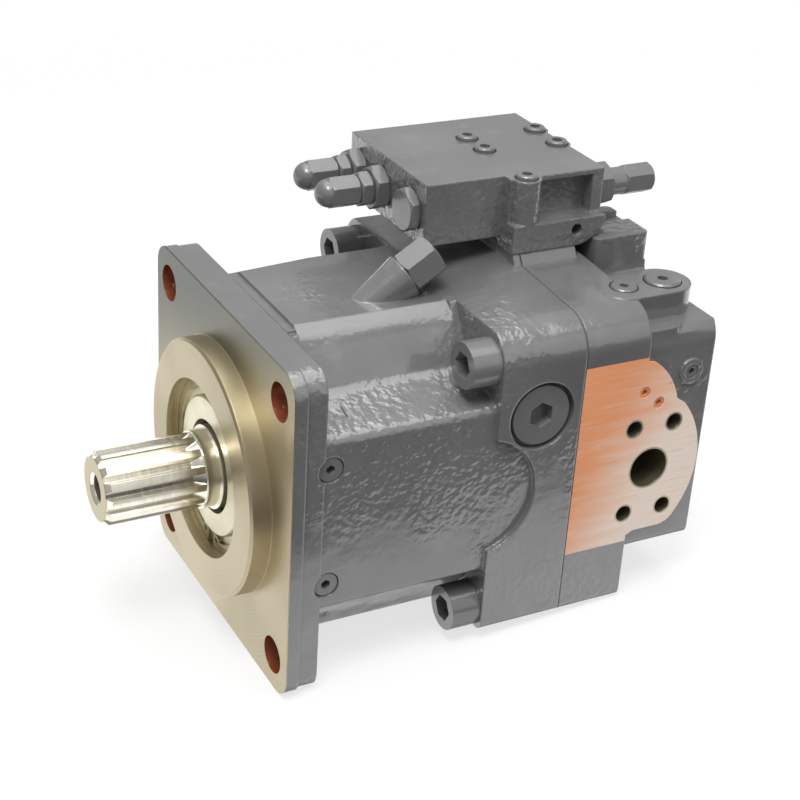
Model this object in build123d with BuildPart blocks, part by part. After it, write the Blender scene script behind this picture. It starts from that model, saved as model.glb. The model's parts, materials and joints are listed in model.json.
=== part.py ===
from build123d import *
from math import cos, radians, sin, sqrt, tan
import os

# Variable displacement axial piston pump, swashplate design, for open circuits.
#
# Frame: millimetres. The origin is the centre of the mounting flange's front face, on the shaft
# axis. The shaft points along -X, +X runs to the rear of the pump, +Z is up. The pressure port is
# on the -Y side and the suction port on the +Y side. The swashplate stands at zero tilt.

os.makedirs("parts", exist_ok=True)

# ---------------------------------------------------------------- clearances
running_gap = 0.05        # radial play of a shaft or piston in its bore
seat_gap = 0.02           # between two fixed pieces that seat face to face
body_gap = 0.3            # between pieces that move past each other

# ---------------------------------------------------------------- mounting flange
flange_half_width = 100.0
flange_half_height = 101.5
flange_corner_radius = 14.0
flange_thickness = 20.0
flange_edge_length = 8.0          # machined front band of the flange's edge
flange_edge_relief = 2.0          # how far the cast edge behind it steps in
bolt_half_pitch = 80.8
bolt_hole_radius = 11.0
spot_face_radius = 16.5
spot_face_depth = 4.0
spigot_radius = 76.2
spigot_height = 12.7
spigot_chamfer = 1.5

# ---------------------------------------------------------------- housing casting
housing_length = 178.7            # flange face to the joint with the port plate
rear_block_front_x = 125.0        # the heavy block that takes the long screws
casing_half_width = 100.0
casing_top_z = 110.0
casing_shoulder_z = 104.0          # where the sloped top would meet the side wall
casing_bottom_z = -87.0
casing_top_radius = 22.0
casing_bottom_radius = 6.0
barrel_half_width = 96.5          # side wall between flange and rear block
barrel_side_top_z = 61.0
barrel_side_bottom_z = -45.0
barrel_top_half_width = 38.0      # flat top between the two upper screw recesses
barrel_bottom_half_width = 56.0
barrel_front_top_z = 98.0
barrel_edge_radius = 9.0
recess_floor_radius = 12.0
cavity_radius = 68.0
cavity_front_x = 44.0
side_boss_radius = 38.0           # round end of the side recess in the rear block
side_boss_x = 115.0
side_boss_z = 5.0
vent_face_x = 95.0                # centre of the inclined boss's machined face
vent_face_y = -33.0
vent_face_z = 117.5
vent_boss_angle = 32.0            # of the boss axis above the horizontal
vent_boss_radius = 15.5
vent_boss_root_radius = 10.0
vent_boss_length = 60.0
vent_hole_radius = 9.0
vent_plug_across_flats = 27.0
vent_plug_height = 24.7

# ---------------------------------------------------------------- port plate casting
gasket_thickness = 0.6
rear_x = 270.0                    # rear face of the pump
step_x = 222.0                    # behind this the casting is shallower
rear_half_width = 97.0
rear_top_z = 98.0
rear_bottom_z = -55.0
rear_corner_radius = 20.0
port_x = 232.0
port_z = 2.0
port_radius = 12.7
port_bolt_pitch_x = 27.8
port_bolt_pitch_z = 57.2
port_bolt_radius = 5.1            # tapping size for M12
port_bolt_depth = 24.0
suction_x = 226.0
suction_radius = 38.1
suction_bolt_pitch_x = 61.9
suction_bolt_pitch_z = 106.4
suction_bolt_radius = 7.0         # tapping size for M16
suction_bolt_depth = 30.0
suction_face_y = 103.0
suction_pad_half_length = 44.0
suction_pad_half_height = 72.0
suction_bore_depth = 60.0
kidney_half_width = 5.5
kidney_half_angle = 50.0
turret_front_x = 223.0
turret_rear_x = 267.0
turret_near_y = -22.0
turret_far_y = 20.0
turret_top_z = 118.4
rear_pad_rear_x = 240.0
rear_pad_far_y = 68.0
plug_boss_z = 113.5
plug_boss_y = -80.0
plug_boss_radius = 16.0
small_boss_plug_x = 213.0
large_boss_plug_x = 238.0

# ---------------------------------------------------------------- drive shaft
shaft_end_x = -75.0
spline_end_x = -23.0
spline_runout_x = -16.0
spline_teeth = 13
spline_major_radius = 21.85
spline_minor_radius = 18.6
spline_chamfer = 3.0
collar_end_x = -8.0
seal_journal_radius = 25.0
collar_radius = 23.0
front_journal_radius = 25.0
shaft_shoulder_radius = 29.0
shaft_shoulder_end_x = 50.0
shaft_middle_radius = 20.0
rear_journal_radius = 17.5
centre_hole_radius = 8.0
centre_hole_depth = 32.0

# ---------------------------------------------------------------- bearings and seal
front_bearing_x = 20.0
front_bearing_width = 22.0
front_bearing_radius = 45.0
front_roller_radius = 4.6
front_roller_count = 16
rear_bearing_x = 180.0
rear_bearing_width = 17.0
rear_bearing_radius = 31.0
rear_roller_radius = 3.4
rear_roller_count = 14
roller_play = 0.1
carrier_radius = 53.0
carrier_bore_radius = 36.0
carrier_window_radius = 29.0
carrier_front_x = -2.5
carrier_back_x = 8.0
circlip_thickness = 2.5
circlip_inner_radius = 47.0
circlip_lug_y = 8.0
circlip_lug_z = 46.5

# ---------------------------------------------------------------- rotating group
piston_count = 9
pitch_radius = 43.0
piston_radius = 10.5
piston_front_x = 112.0
piston_back_x = 158.0
piston_ball_radius = 7.5
piston_neck_radius = 5.0
block_radius = 59.0
block_front_x = 119.0
block_back_x = 171.7
block_bore_end_x = 160.0
spring_chamber_radius = 28.0
spring_chamber_end_x = 158.0
guide_ball_radius = 27.5
slipper_radius = 14.0
slipper_neck_radius = 11.0
slipper_base_thickness = 3.6
retainer_thickness = 3.0
retainer_radius = 57.5
slipper_lip_x = 99.5
piston_bore_radius = 6.0
guide_skirt_radius = 25.0
guide_ball_end_x = 126.0
spring_front_x = 128.5
spring_back_x = 155.5
valve_plate_x = 172.0
valve_plate_radius = 58.0
valve_plate_bore_radius = 24.0

# ---------------------------------------------------------------- swashplate
tilt_axis_x = 96.0
max_tilt = 19.5
running_face_offset = 10.0        # running face ahead of the tilt axis
swash_disc_radius = 61.0
swash_disc_thickness = 14.0
cradle_radius = 58.0
cradle_inner_y = 52.0
cradle_outer_y = 75.0
cradle_half_height = 36.0
cradle_roller_radius = 2.3
cradle_roller_count = 7
cradle_roller_step = 8.5
cradle_race_thickness = 3.0
stroke_piston_z = 80.0
stroke_piston_radius = 11.0
counter_piston_z = -72.0
counter_piston_radius = 8.0
piston_tip_radius = 12.0
arm_half_width = 9.0
counter_spring_x = 100.0

# ---------------------------------------------------------------- control block
control_left_x = 122.0
control_right_x = 237.5
control_near_y = -6.0
foot_near_y = -13.0
control_far_y = 91.0
control_top_z = 158.5
control_underside_z = 121.0
foot_x = 172.0
foot_z = 111.0
foot_rise_x = 216.0               # where the foot's underside climbs over the turret
control_screws = ((184.0, 53.0), (184.0, 33.0), (231.0, 55.0), (231.0, 29.0), (184.0, -12.5))
control_screw_radius = 4.0
control_screw_head_radius = 6.5
control_screw_head_height = 8.0
control_screw_sink = 3.0
control_screw_tip_z = 96.0
spool_z = 138.5
power_y = 11.0
pressure_y = 49.0
flow_y = 79.0
spool_radius = 6.0
adjuster_shank_radius = 8.0
adjuster_shank_length = 12.0
adjusting_screw_radius = 4.0
spring_room_radius = 8.0
spring_room_end = 34.0
spring_plate_radius = 7.0
screw_plate_end = 14.3
fitting_across_flats = 24.0
lock_nut_across_flats = 19.0
cap_across_flats = 17.0


def along_x(y=0.0, z=0.0):
    """A working plane whose own X line runs along +X at the given height and side."""
    return Plane(origin=(0, y, z), x_dir=(1, 0, 0), z_dir=(0, -1, 0))


def line_through(point, direction):
    """A working plane whose own X line starts at the point and runs along the direction."""
    across = Vector(*direction).cross(Vector(0, 1, 0))
    if across.length < 0.5:
        across = Vector(0, 0, 1)
    return Plane(origin=point, x_dir=direction, z_dir=across)


def turned(line, points, mode=Mode.ADD):
    """Revolve a closed outline of (distance along, radius) points about a line."""
    with BuildSketch(line) as outline:
        with BuildLine():
            Polyline(*points, close=True)
        make_face()
    return revolve(outline.sketch, axis=Axis(line.origin, line.x_dir), mode=mode)


def ring(line, start, end, outer, inner=0.0, mode=Mode.ADD):
    """A plain ring or, with no inner radius, a disc about a line."""
    return turned(line, [(start, inner), (end, inner), (end, outer), (start, outer)], mode)


def bored(line, start, end, radius):
    """Cut a round hole along a line."""
    return ring(line, start, end, radius, mode=Mode.SUBTRACT)


def hexagon(line, start, end, across_flats, mode=Mode.ADD):
    """A hexagonal prism, or a hexagon socket, about a line."""
    face = Plane(origin=line.origin + line.x_dir * start, x_dir=line.z_dir, z_dir=line.x_dir)
    with BuildSketch(face) as outline:
        RegularPolygon(across_flats / 2, 6, major_radius=False)
    return extrude(outline.sketch, amount=end - start, mode=mode)


def coil(line, start, end, mean_radius, wire, turns):
    """A coil spring of square wire about a line."""
    rise = end - start - wire
    with BuildLine():
        path = Helix(
            pitch=rise / turns, height=rise, radius=mean_radius,
            center=line.origin + line.x_dir * (start + wire / 2), direction=line.x_dir)
    with BuildSketch(Plane(origin=path @ 0, x_dir=line.x_dir, z_dir=path % 0)) as section:
        Rectangle(wire, wire)
    return sweep(section.sketch, path=path, is_frenet=True)


def socket_screw(line, seat, tip, radius, head_radius, head_height, socket):
    """A cap screw about a line, its head in front of the seat, with a hexagon socket."""
    ring(line, seat - head_height, seat, head_radius)
    ring(line, seat, tip, radius)
    hexagon(line, seat - head_height - 1, seat - head_height / 2, socket, Mode.SUBTRACT)


def round_ended(line, centre, ball_radius, radius, end, bore_radius, bore_start):
    """A plunger with a spherical tip, drilled hollow from its far end."""
    rim = centre - sqrt(ball_radius ** 2 - radius ** 2)
    middle = radians(20)
    with BuildSketch(line) as outline:
        with BuildLine():
            ThreePointArc(
                (centre - ball_radius, 0),
                (centre - ball_radius * cos(middle), ball_radius * sin(middle)), (rim, radius))
            Polyline(
                (rim, radius), (end, radius), (end, bore_radius), (bore_start, bore_radius),
                (bore_start, 0), (centre - ball_radius, 0))
        make_face()
    return revolve(outline.sketch, axis=Axis(line.origin, line.x_dir))


def nearest(shape, *points):
    """The corners of a sketch that lie nearest to the given points."""
    return [shape.vertices().sort_by_distance((point[0], point[1], 0))[0] for point in points]


def save(piece, name):
    """Label a finished piece and write it as its own file."""
    piece.part.label = name
    export_step(piece.part, "parts/" + name + ".step")


shaft_line = along_x()
stroke_line = along_x(z=stroke_piston_z)
counter_line = along_x(z=counter_piston_z)
tilt_line = line_through((tilt_axis_x, 0, 0), (0, 1, 0))
pressure_line = line_through((control_left_x, pressure_y, spool_z), (1, 0, 0))
flow_line = line_through((control_left_x, flow_y, spool_z), (1, 0, 0))
power_line = line_through((control_right_x, power_y, spool_z), (-1, 0, 0))


# ================================================================ pump housing
screw_y = 85.0
screw_upper_z = 85.0
screw_lower_z = -74.5
screw_radius = 9.0
screw_head_radius = 13.5
screw_head_height = 18.0
screw_tip_x = 214.0
screw_socket = 14.0
screw_places = [(side * screw_y, z) for side in (-1, 1) for z in (screw_upper_z, screw_lower_z)]
bolt_places = [(y, z) for y in (-bolt_half_pitch, bolt_half_pitch) for z in (-bolt_half_pitch, bolt_half_pitch)]
dowel_radius = 5.0
dowel_length = 20.0
dowel_places = ((60.0, 87.0), (-58.0, -77.0))
port_plate_x = housing_length + gasket_thickness

drain_x = 153.0
drain_z = 52.0
drain_recess_radius = 21.0
drain_head_radius = 18.3
drain_head_thickness = 5.0
drain_recess_depth = 6.5
drain_shank_radius = 15.0
drain_shank_length = 18.0
gauge_recess_radius = 7.8
gauge_head_radius = 7.2
gauge_shank_radius = 5.0
gauge_recess_depth = 3.5
gauge_head_thickness = 3.0
gauge_shank_length = 10.0
gauge_x = 24.0
gauge_zs = (43.0, -30.0)


def casing_section(plane):
    """Outline of the rear block and of the port plate's front part."""
    with BuildSketch(plane) as outline:
        with BuildLine():
            Polyline(
                (0, casing_top_z), (casing_half_width, casing_shoulder_z),
                (casing_half_width, casing_bottom_z), (0, casing_bottom_z), close=True)
        make_face()
        fillet(nearest(outline, (casing_half_width, casing_shoulder_z)), casing_top_radius)
        fillet(nearest(outline, (casing_half_width, casing_bottom_z)), casing_bottom_radius)
        mirror(about=Plane.YZ)
    return outline.sketch


def barrel_section(plane):
    """Outline of the barrel, with a hollow at each corner for the heads of the long screws."""
    upper_hollow = (62.0, 70.0)
    lower_hollow = (80.0, -57.0)
    with BuildSketch(plane) as outline:
        with BuildLine():
            Polyline(
                (0, casing_top_z), (barrel_top_half_width, casing_top_z), upper_hollow,
                (barrel_half_width, barrel_side_top_z), (barrel_half_width, barrel_side_bottom_z),
                lower_hollow, (barrel_bottom_half_width, casing_bottom_z), (0, casing_bottom_z),
                close=True)
        make_face()
        fillet(nearest(outline, upper_hollow), recess_floor_radius)
        fillet(nearest(
            outline, (barrel_half_width, barrel_side_top_z), (barrel_half_width, barrel_side_bottom_z)), 6)
        mirror(about=Plane.YZ)
    return outline.sketch


def top_slope():
    """Cut the casing's top so that it falls towards the flange."""
    with BuildSketch(Plane.XZ) as outline:
        with BuildLine():
            Polyline(
                (flange_thickness, barrel_front_top_z), (housing_length, casing_top_z),
                (housing_length, casing_top_z + 20), (flange_thickness, casing_top_z + 20), close=True)
        make_face()
    return extrude(outline.sketch, amount=2 * casing_half_width, both=True, mode=Mode.SUBTRACT)


vent_angle = radians(vent_boss_angle)
vent_direction = (cos(vent_angle), 0, sin(vent_angle))
vent_line = line_through((vent_face_x, vent_face_y, vent_face_z), vent_direction)
control_pad_near_y = foot_near_y + 1.0
control_pad_far_y = control_far_y - 8.0
control_pad_left_x = foot_x + 1.0
control_pad_right_x = foot_rise_x - 1.0
stroke_sleeve_radius = 13.5
stroke_sleeve_x = 116.0
counter_sleeve_radius = 9.6
counter_sleeve_x = 92.0
cradle_seat_radius = cradle_radius + 2 * cradle_roller_radius + 2 * roller_play + cradle_race_thickness
cradle_side_gap = 2.0
swing_top_z = 55.0
swing_bottom_z = -41.0
upper_arm_front_x = tilt_axis_x - running_face_offset - swash_disc_thickness - 2.0

with BuildPart() as housing:
    # Flange, spigot and the cast body behind them
    with BuildSketch(Plane.YZ) as flange_band:
        RectangleRounded(2 * flange_half_width, 2 * flange_half_height, flange_corner_radius)
    extrude(flange_band.sketch, amount=flange_edge_length)
    with BuildSketch(Plane.YZ.offset(flange_edge_length)) as flange_rear:
        RectangleRounded(
            2 * (flange_half_width - flange_edge_relief), 2 * flange_half_height, flange_corner_radius)
    extrude(flange_rear.sketch, amount=flange_thickness - flange_edge_length)
    ring(shaft_line, -spigot_height + spigot_chamfer, 1, spigot_radius)
    turned(shaft_line, [
        (-spigot_height, 0), (-spigot_height, spigot_radius - spigot_chamfer),
        (-spigot_height + spigot_chamfer, spigot_radius), (-spigot_height + spigot_chamfer, 0)])
    extrude(barrel_section(Plane.YZ.offset(flange_edge_length)), amount=rear_block_front_x)
    extrude(casing_section(Plane.YZ.offset(rear_block_front_x)), amount=housing_length - rear_block_front_x)
    top_slope()
    turned(vent_line, [
        (-vent_boss_length, 0), (0, 0), (0, vent_boss_radius),
        (-vent_boss_length, vent_boss_root_radius)])
    with BuildSketch(Plane.XY.offset(casing_top_z - 10)) as control_pad:
        with Locations(((control_pad_left_x + housing_length) / 2, (control_pad_near_y + control_pad_far_y) / 2)):
            Rectangle(housing_length - control_pad_left_x, control_pad_far_y - control_pad_near_y)
    extrude(control_pad.sketch, amount=foot_z - seat_gap - casing_top_z + 10)
    # Round end of the barrel's side wall, sunk into the rear block on both sides
    for side in (-1, 1):
        side_line = line_through((side_boss_x, 0, side_boss_z), (0, side, 0))
        bored(side_line, barrel_half_width, casing_half_width + 1, side_boss_radius)
    # Bolt holes of the flange, spot faced from behind
    for y, z in bolt_places:
        bored(along_x(y, z), -1, flange_thickness + 1, bolt_hole_radius)
        bored(along_x(y, z), flange_thickness - spot_face_depth, flange_thickness + 20, spot_face_radius)
    # Hollow for the swashplate and the cylinder block
    bored(shaft_line, cavity_front_x, housing_length + 1, cavity_radius)
    for side in (-1, 1):
        with BuildSketch(Plane.XZ.offset(-side * (cradle_inner_y - cradle_side_gap))) as swing_space:
            with Locations((tilt_axis_x, 0)):
                Circle(cradle_seat_radius)
            with Locations((tilt_axis_x, (swing_top_z + swing_bottom_z) / 2)):
                Rectangle(2 * cradle_seat_radius, swing_top_z - swing_bottom_z, mode=Mode.INTERSECT)
            with Locations(((tilt_axis_x + housing_length + 1) / 2, (swing_top_z + swing_bottom_z) / 2)):
                Rectangle(housing_length + 1 - tilt_axis_x, swing_top_z - swing_bottom_z)
        extrude(swing_space.sketch, amount=-side * (cradle_outer_y - cradle_inner_y + 2 * cradle_side_gap),
                mode=Mode.SUBTRACT)
    with BuildSketch(Plane.XY.offset(stroke_piston_z + stroke_piston_radius + 3)) as upper_arm_space:
        with Locations(((upper_arm_front_x + stroke_sleeve_x) / 2, 0)):
            Rectangle(stroke_sleeve_x - upper_arm_front_x, 2 * arm_half_width + 10)
    extrude(upper_arm_space.sketch, amount=-40, mode=Mode.SUBTRACT)
    with BuildSketch(Plane.XY.offset(counter_piston_z - counter_piston_radius - 1.5)) as lower_arm_space:
        with Locations(((cavity_front_x + counter_sleeve_x) / 2, 0)):
            Rectangle(counter_sleeve_x - cavity_front_x, 2 * arm_half_width + 6)
    extrude(lower_arm_space.sketch, amount=40, mode=Mode.SUBTRACT)
    bored(stroke_line, stroke_sleeve_x - 1, housing_length + 1, stroke_sleeve_radius + seat_gap)
    bored(counter_line, counter_sleeve_x - 1, housing_length + 1, counter_sleeve_radius + seat_gap)
    # Bearing and seal bores in the front wall
    bored(shaft_line, front_bearing_x, cavity_front_x + 1, front_bearing_radius + seat_gap)
    bored(shaft_line, -spigot_height - 1, carrier_back_x, carrier_radius + seat_gap)
    bored(shaft_line, carrier_back_x - 1, front_bearing_x + 1, shaft_shoulder_radius + 6)
    ring(shaft_line, carrier_front_x - circlip_thickness - 0.1, carrier_front_x, carrier_radius + 2.0,
         carrier_radius - 1, Mode.SUBTRACT)
    # Long screws, drain ports, gauge ports and vent
    for y, z in screw_places:
        bored(along_x(y, z), rear_block_front_x - 1, housing_length + 1, screw_radius + 0.5)
    for side in (-1, 1):
        drain_line = line_through((drain_x, 0, drain_z), (0, side, 0))
        bored(drain_line, casing_half_width - drain_recess_depth, casing_half_width + 1, drain_recess_radius)
        bored(drain_line, 30, casing_half_width, drain_shank_radius + seat_gap)
        for gauge_z in gauge_zs:
            gauge_line = line_through((gauge_x, 0, gauge_z), (0, side, 0))
            bored(gauge_line, barrel_half_width - gauge_recess_depth, casing_half_width + 1, gauge_recess_radius)
            bored(gauge_line, barrel_half_width - gauge_recess_depth - gauge_shank_length - 2,
                  casing_half_width, gauge_shank_radius + seat_gap)
    bored(vent_line, -42, 1, vent_hole_radius + seat_gap)
    bored(line_through((62, vent_face_y, 0), (0, 0, 1)), 50, 94, 5)
    for y, z in dowel_places:
        bored(along_x(y, z), housing_length - dowel_length / 2 - 1, housing_length + 1, dowel_radius + seat_gap)
save(housing, "pump_housing")


# ================================================================ joint gasket
gasket_opening_radius = 70.0

with BuildPart() as gasket:
    extrude(casing_section(Plane.YZ.offset(housing_length + seat_gap)), amount=gasket_thickness - 2 * seat_gap)
    bored(shaft_line, housing_length - 1, port_plate_x + 1, gasket_opening_radius)
    bored(stroke_line, housing_length - 1, port_plate_x + 1, stroke_sleeve_radius)
    bored(counter_line, housing_length - 1, port_plate_x + 1, counter_sleeve_radius)
    with BuildSketch(Plane.YZ.offset(housing_length - 1)) as leg_opening:
        with Locations((0, (swing_top_z + swing_bottom_z) / 2)):
            Rectangle(2 * (cradle_outer_y + cradle_side_gap), swing_top_z - swing_bottom_z)
    extrude(leg_opening.sketch, amount=gasket_thickness + 2, mode=Mode.SUBTRACT)
    for y, z in screw_places:
        bored(along_x(y, z), housing_length - 1, port_plate_x + 1, screw_radius + 0.5)
    for y, z in dowel_places:
        bored(along_x(y, z), housing_length - 1, port_plate_x + 1, dowel_radius + seat_gap)
save(gasket, "joint_gasket")


# ================================================================ port plate
def kidney(plane, middle, half_width, half_angle):
    """Curved slot on the piston circle, its middle at an angle turned from +Y towards +Z."""
    with BuildLine():
        centre = CenterArc((0, 0), pitch_radius, middle - half_angle, 2 * half_angle)
    with BuildSketch(plane) as outline:
        SlotArc(centre, 2 * half_width)
    return outline.sketch


def port_face_outline():
    """The raised machined face around the pressure port, seen from the side as (x, z)."""
    top_z = 75.5
    bottom_z = -44.0
    shoulder = (step_x + 4, top_z - 2)
    with BuildLine() as edge:
        Polyline((port_plate_x, bottom_z), (port_plate_x, top_z), (step_x - 2, top_z - 1.5), shoulder)
        ThreePointArc(shoulder, (port_x + 8, top_z - 16), (port_x + 14, port_z + 44))
        Line((port_x + 14, port_z + 44), (port_x + 20, port_z + 40))
        ThreePointArc((port_x + 20, port_z + 40), (port_x + 35, port_z + 2), (port_x + 24, port_z - 35))
        ThreePointArc((port_x + 24, port_z - 35), (port_x + 19, port_z - 40.5), (port_x + 12, port_z - 42.5))
        Polyline((port_x + 12, port_z - 42.5), (step_x + 5, port_z - 42.5), (step_x - 4, bottom_z - 0.5),
                 (port_plate_x, bottom_z))
    return edge.line


pressure_port_line = line_through((port_x, 0, port_z), (0, -1, 0))
suction_port_line = line_through((suction_x, 0, 0), (0, 1, 0))
rear_bearing_back_x = rear_bearing_x + rear_bearing_width
gauge_port_places = ((222.0, 54.0), (233.0, 45.5))
gauge_port_radius = 3.6
small_boss_recess_radius = 9.5
large_boss_recess_radius = 11.5
valve_pin_line = along_x(z=52.0)
valve_pin_radius = 3.0
valve_pin_end_x = 185.0
side_plug_x = 255.0
side_plug_z = 61.0
side_plug_boss_radius = 8.0
side_plug_radius = 4.6

with BuildPart() as port_plate:
    extrude(casing_section(Plane.YZ.offset(port_plate_x)), amount=step_x - port_plate_x)
    # Shallower rear part
    with BuildSketch(Plane.YZ.offset(step_x - 1)) as rear_block:
        with Locations((0, (rear_top_z + rear_bottom_z) / 2)):
            Rectangle(2 * rear_half_width, rear_top_z - rear_bottom_z)
        fillet(rear_block.vertices().group_by(Axis.Y)[-1], rear_corner_radius)
        fillet(rear_block.vertices().group_by(Axis.Y)[0], casing_bottom_radius)
    extrude(rear_block.sketch, amount=rear_x - step_x + 1)
    # Raised face of the pressure port
    with BuildSketch(Plane.XZ.offset(rear_half_width - 10)) as port_face:
        with BuildLine():
            add(port_face_outline())
        make_face()
    extrude(port_face.sketch, amount=casing_half_width - rear_half_width + 10)
    # Suction pad on the far side
    with BuildSketch(Plane.XZ.offset(-suction_face_y)) as suction_pad:
        with Locations((suction_x, 0)):
            RectangleRounded(2 * suction_pad_half_length, 2 * suction_pad_half_height, 20)
    extrude(suction_pad.sketch, amount=50)
    # Turret and plug boss on top
    with BuildSketch(Plane.XY.offset(rear_top_z - 12)) as turret:
        with Locations(((turret_front_x + turret_rear_x) / 2, (turret_near_y + turret_far_y) / 2)):
            Rectangle(turret_rear_x - turret_front_x, turret_far_y - turret_near_y)
        with Locations(((turret_front_x + rear_pad_rear_x) / 2, (turret_far_y + rear_pad_far_y) / 2)):
            Rectangle(rear_pad_rear_x - turret_front_x, rear_pad_far_y - turret_far_y)
        fillet(turret.vertices(), 4)
    extrude(turret.sketch, amount=turret_top_z - rear_top_z + 12)
    with BuildSketch(Plane.XY.offset(rear_top_z - 14)) as plug_boss:
        with Locations(((small_boss_plug_x + large_boss_plug_x) / 2, plug_boss_y)):
            SlotCenterToCenter(large_boss_plug_x - small_boss_plug_x, 2 * plug_boss_radius)
    extrude(plug_boss.sketch, amount=plug_boss_z - rear_top_z + 14)
    with BuildSketch(Plane.XY.offset(casing_top_z - 12)) as rear_control_pad:
        with Locations(((port_plate_x + control_pad_right_x) / 2, (control_pad_near_y + control_pad_far_y) / 2)):
            Rectangle(control_pad_right_x - port_plate_x, control_pad_far_y - control_pad_near_y)
    extrude(rear_control_pad.sketch, amount=foot_z - seat_gap - casing_top_z + 12)
    side_plug_line = line_through((side_plug_x, 0, side_plug_z), (0, -1, 0))
    ring(side_plug_line, rear_half_width - 8, rear_half_width + 1.5, side_plug_boss_radius)
    # Kidney passages and the two ports
    for middle in (0, 180):
        passage = kidney(Plane.YZ.offset(port_plate_x - 1), middle, kidney_half_width, kidney_half_angle)
        extrude(passage, amount=port_x - port_plate_x, mode=Mode.SUBTRACT)
    bored(pressure_port_line, pitch_radius, casing_half_width + 1, port_radius)
    bored(suction_port_line, suction_face_y - suction_bore_depth, suction_face_y + 1, suction_radius)
    for dx in (-port_bolt_pitch_x / 2, port_bolt_pitch_x / 2):
        for dz in (-port_bolt_pitch_z / 2, port_bolt_pitch_z / 2):
            hole = line_through((port_x + dx, 0, port_z + dz), (0, -1, 0))
            bored(hole, casing_half_width - port_bolt_depth, casing_half_width + 1, port_bolt_radius)
    for dx in (-suction_bolt_pitch_x / 2, suction_bolt_pitch_x / 2):
        for dz in (-suction_bolt_pitch_z / 2, suction_bolt_pitch_z / 2):
            hole = line_through((suction_x + dx, 0, dz), (0, 1, 0))
            bored(hole, suction_face_y - suction_bolt_depth, suction_face_y + 1, suction_bolt_radius)
    # Rear bearing pocket
    bored(shaft_line, port_plate_x - 1, rear_bearing_back_x, rear_bearing_radius + seat_gap)
    bored(shaft_line, rear_bearing_back_x - 1, rear_bearing_back_x + 8, rear_journal_radius + 6)
    # Plug seats and screw holes
    for x, z in gauge_port_places:
        bored(line_through((x, 0, z), (0, -1, 0)), casing_half_width - 10, casing_half_width + 1, gauge_port_radius)
    small_boss_line = line_through((small_boss_plug_x, plug_boss_y, 0), (0, 0, 1))
    large_boss_line = line_through((large_boss_plug_x, plug_boss_y, 0), (0, 0, 1))
    bored(small_boss_line, plug_boss_z - 2, plug_boss_z + 1, small_boss_recess_radius)
    bored(small_boss_line, plug_boss_z - 16, plug_boss_z, 6)
    bored(large_boss_line, plug_boss_z - 2, plug_boss_z + 1, large_boss_recess_radius)
    bored(large_boss_line, plug_boss_z - 18, plug_boss_z, 8)
    bored(side_plug_line, rear_half_width - 12, rear_half_width + 2, side_plug_radius + seat_gap)
    for y, z in screw_places:
        bored(along_x(y, z), port_plate_x - 1, screw_tip_x + 3, screw_radius + seat_gap)
    for y, z in dowel_places:
        bored(along_x(y, z), port_plate_x - 1, port_plate_x + dowel_length / 2 + 1, dowel_radius + seat_gap)
    bored(valve_pin_line, port_plate_x - 1, valve_pin_end_x + 1, valve_pin_radius + seat_gap)
    for x, y in control_screws:
        control_screw_line = line_through((x, y, 0), (0, 0, 1))
        bored(control_screw_line, control_screw_tip_z - 2, turret_top_z + 1, control_screw_radius + seat_gap)
save(port_plate, "port_plate")


# ================================================================ dowels and long screws
with BuildPart() as dowels:
    joint_middle_x = housing_length + gasket_thickness / 2
    for y, z in dowel_places:
        ring(along_x(y, z), joint_middle_x - dowel_length / 2, joint_middle_x + dowel_length / 2, dowel_radius)
save(dowels, "joint_dowels")

with BuildPart() as main_screws:
    for y, z in screw_places:
        socket_screw(along_x(y, z), rear_block_front_x - seat_gap, screw_tip_x, screw_radius,
                     screw_head_radius, screw_head_height, screw_socket)
save(main_screws, "main_cap_screws")


# ================================================================ plugs
def plug(line, seat, head_top, head_radius, shank_end, shank_radius, socket):
    """A screw plug with a flat round head and a hexagon socket."""
    ring(line, seat, head_top, head_radius)
    ring(line, shank_end, seat, shank_radius)
    hexagon(line, seat - 2, head_top + 1, socket, Mode.SUBTRACT)


with BuildPart() as drain_plugs:
    for side in (-1, 1):
        seat = casing_half_width - drain_recess_depth + seat_gap
        plug(line_through((drain_x, 0, drain_z), (0, side, 0)), seat, seat + drain_head_thickness,
             drain_head_radius, seat - drain_shank_length, drain_shank_radius, 14)
save(drain_plugs, "drain_plugs")

with BuildPart() as gauge_plugs:
    for side in (-1, 1):
        for gauge_z in gauge_zs:
            seat = barrel_half_width - gauge_recess_depth + seat_gap
            plug(line_through((gauge_x, 0, gauge_z), (0, side, 0)), seat, seat + gauge_head_thickness,
                 gauge_head_radius, seat - gauge_shank_length, gauge_shank_radius, 5)
save(gauge_plugs, "housing_gauge_plugs")

with BuildPart() as vent_plug:
    hexagon(vent_line, seat_gap, vent_plug_height, vent_plug_across_flats)
    ring(vent_line, -20, seat_gap, vent_hole_radius)
save(vent_plug, "vent_plug")

with BuildPart() as port_face_plugs:
    for x, z in gauge_port_places:
        plug_line = line_through((x, 0, z), (0, -1, 0))
        ring(plug_line, casing_half_width - 9, casing_half_width - 0.4, gauge_port_radius - seat_gap)
        hexagon(plug_line, casing_half_width - 3, casing_half_width, 3.5, Mode.SUBTRACT)
save(port_face_plugs, "port_face_plugs")

with BuildPart() as small_boss_plug:
    plug(small_boss_line, plug_boss_z - 2 + seat_gap, plug_boss_z - 0.2, small_boss_recess_radius - 0.6,
         plug_boss_z - 14, 6 - seat_gap, 5)
save(small_boss_plug, "small_boss_plug")

with BuildPart() as large_boss_plug:
    plug(large_boss_line, plug_boss_z - 2 + seat_gap, plug_boss_z + 1.0, large_boss_recess_radius - 0.6,
         plug_boss_z - 16, 8 - seat_gap, 6)
save(large_boss_plug, "large_boss_plug")

with BuildPart() as side_plug:
    ring(side_plug_line, rear_half_width - 11, rear_half_width + 1, side_plug_radius)
    hexagon(side_plug_line, rear_half_width - 2, rear_half_width + 2, 4, Mode.SUBTRACT)
save(side_plug, "rear_side_plug")


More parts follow.
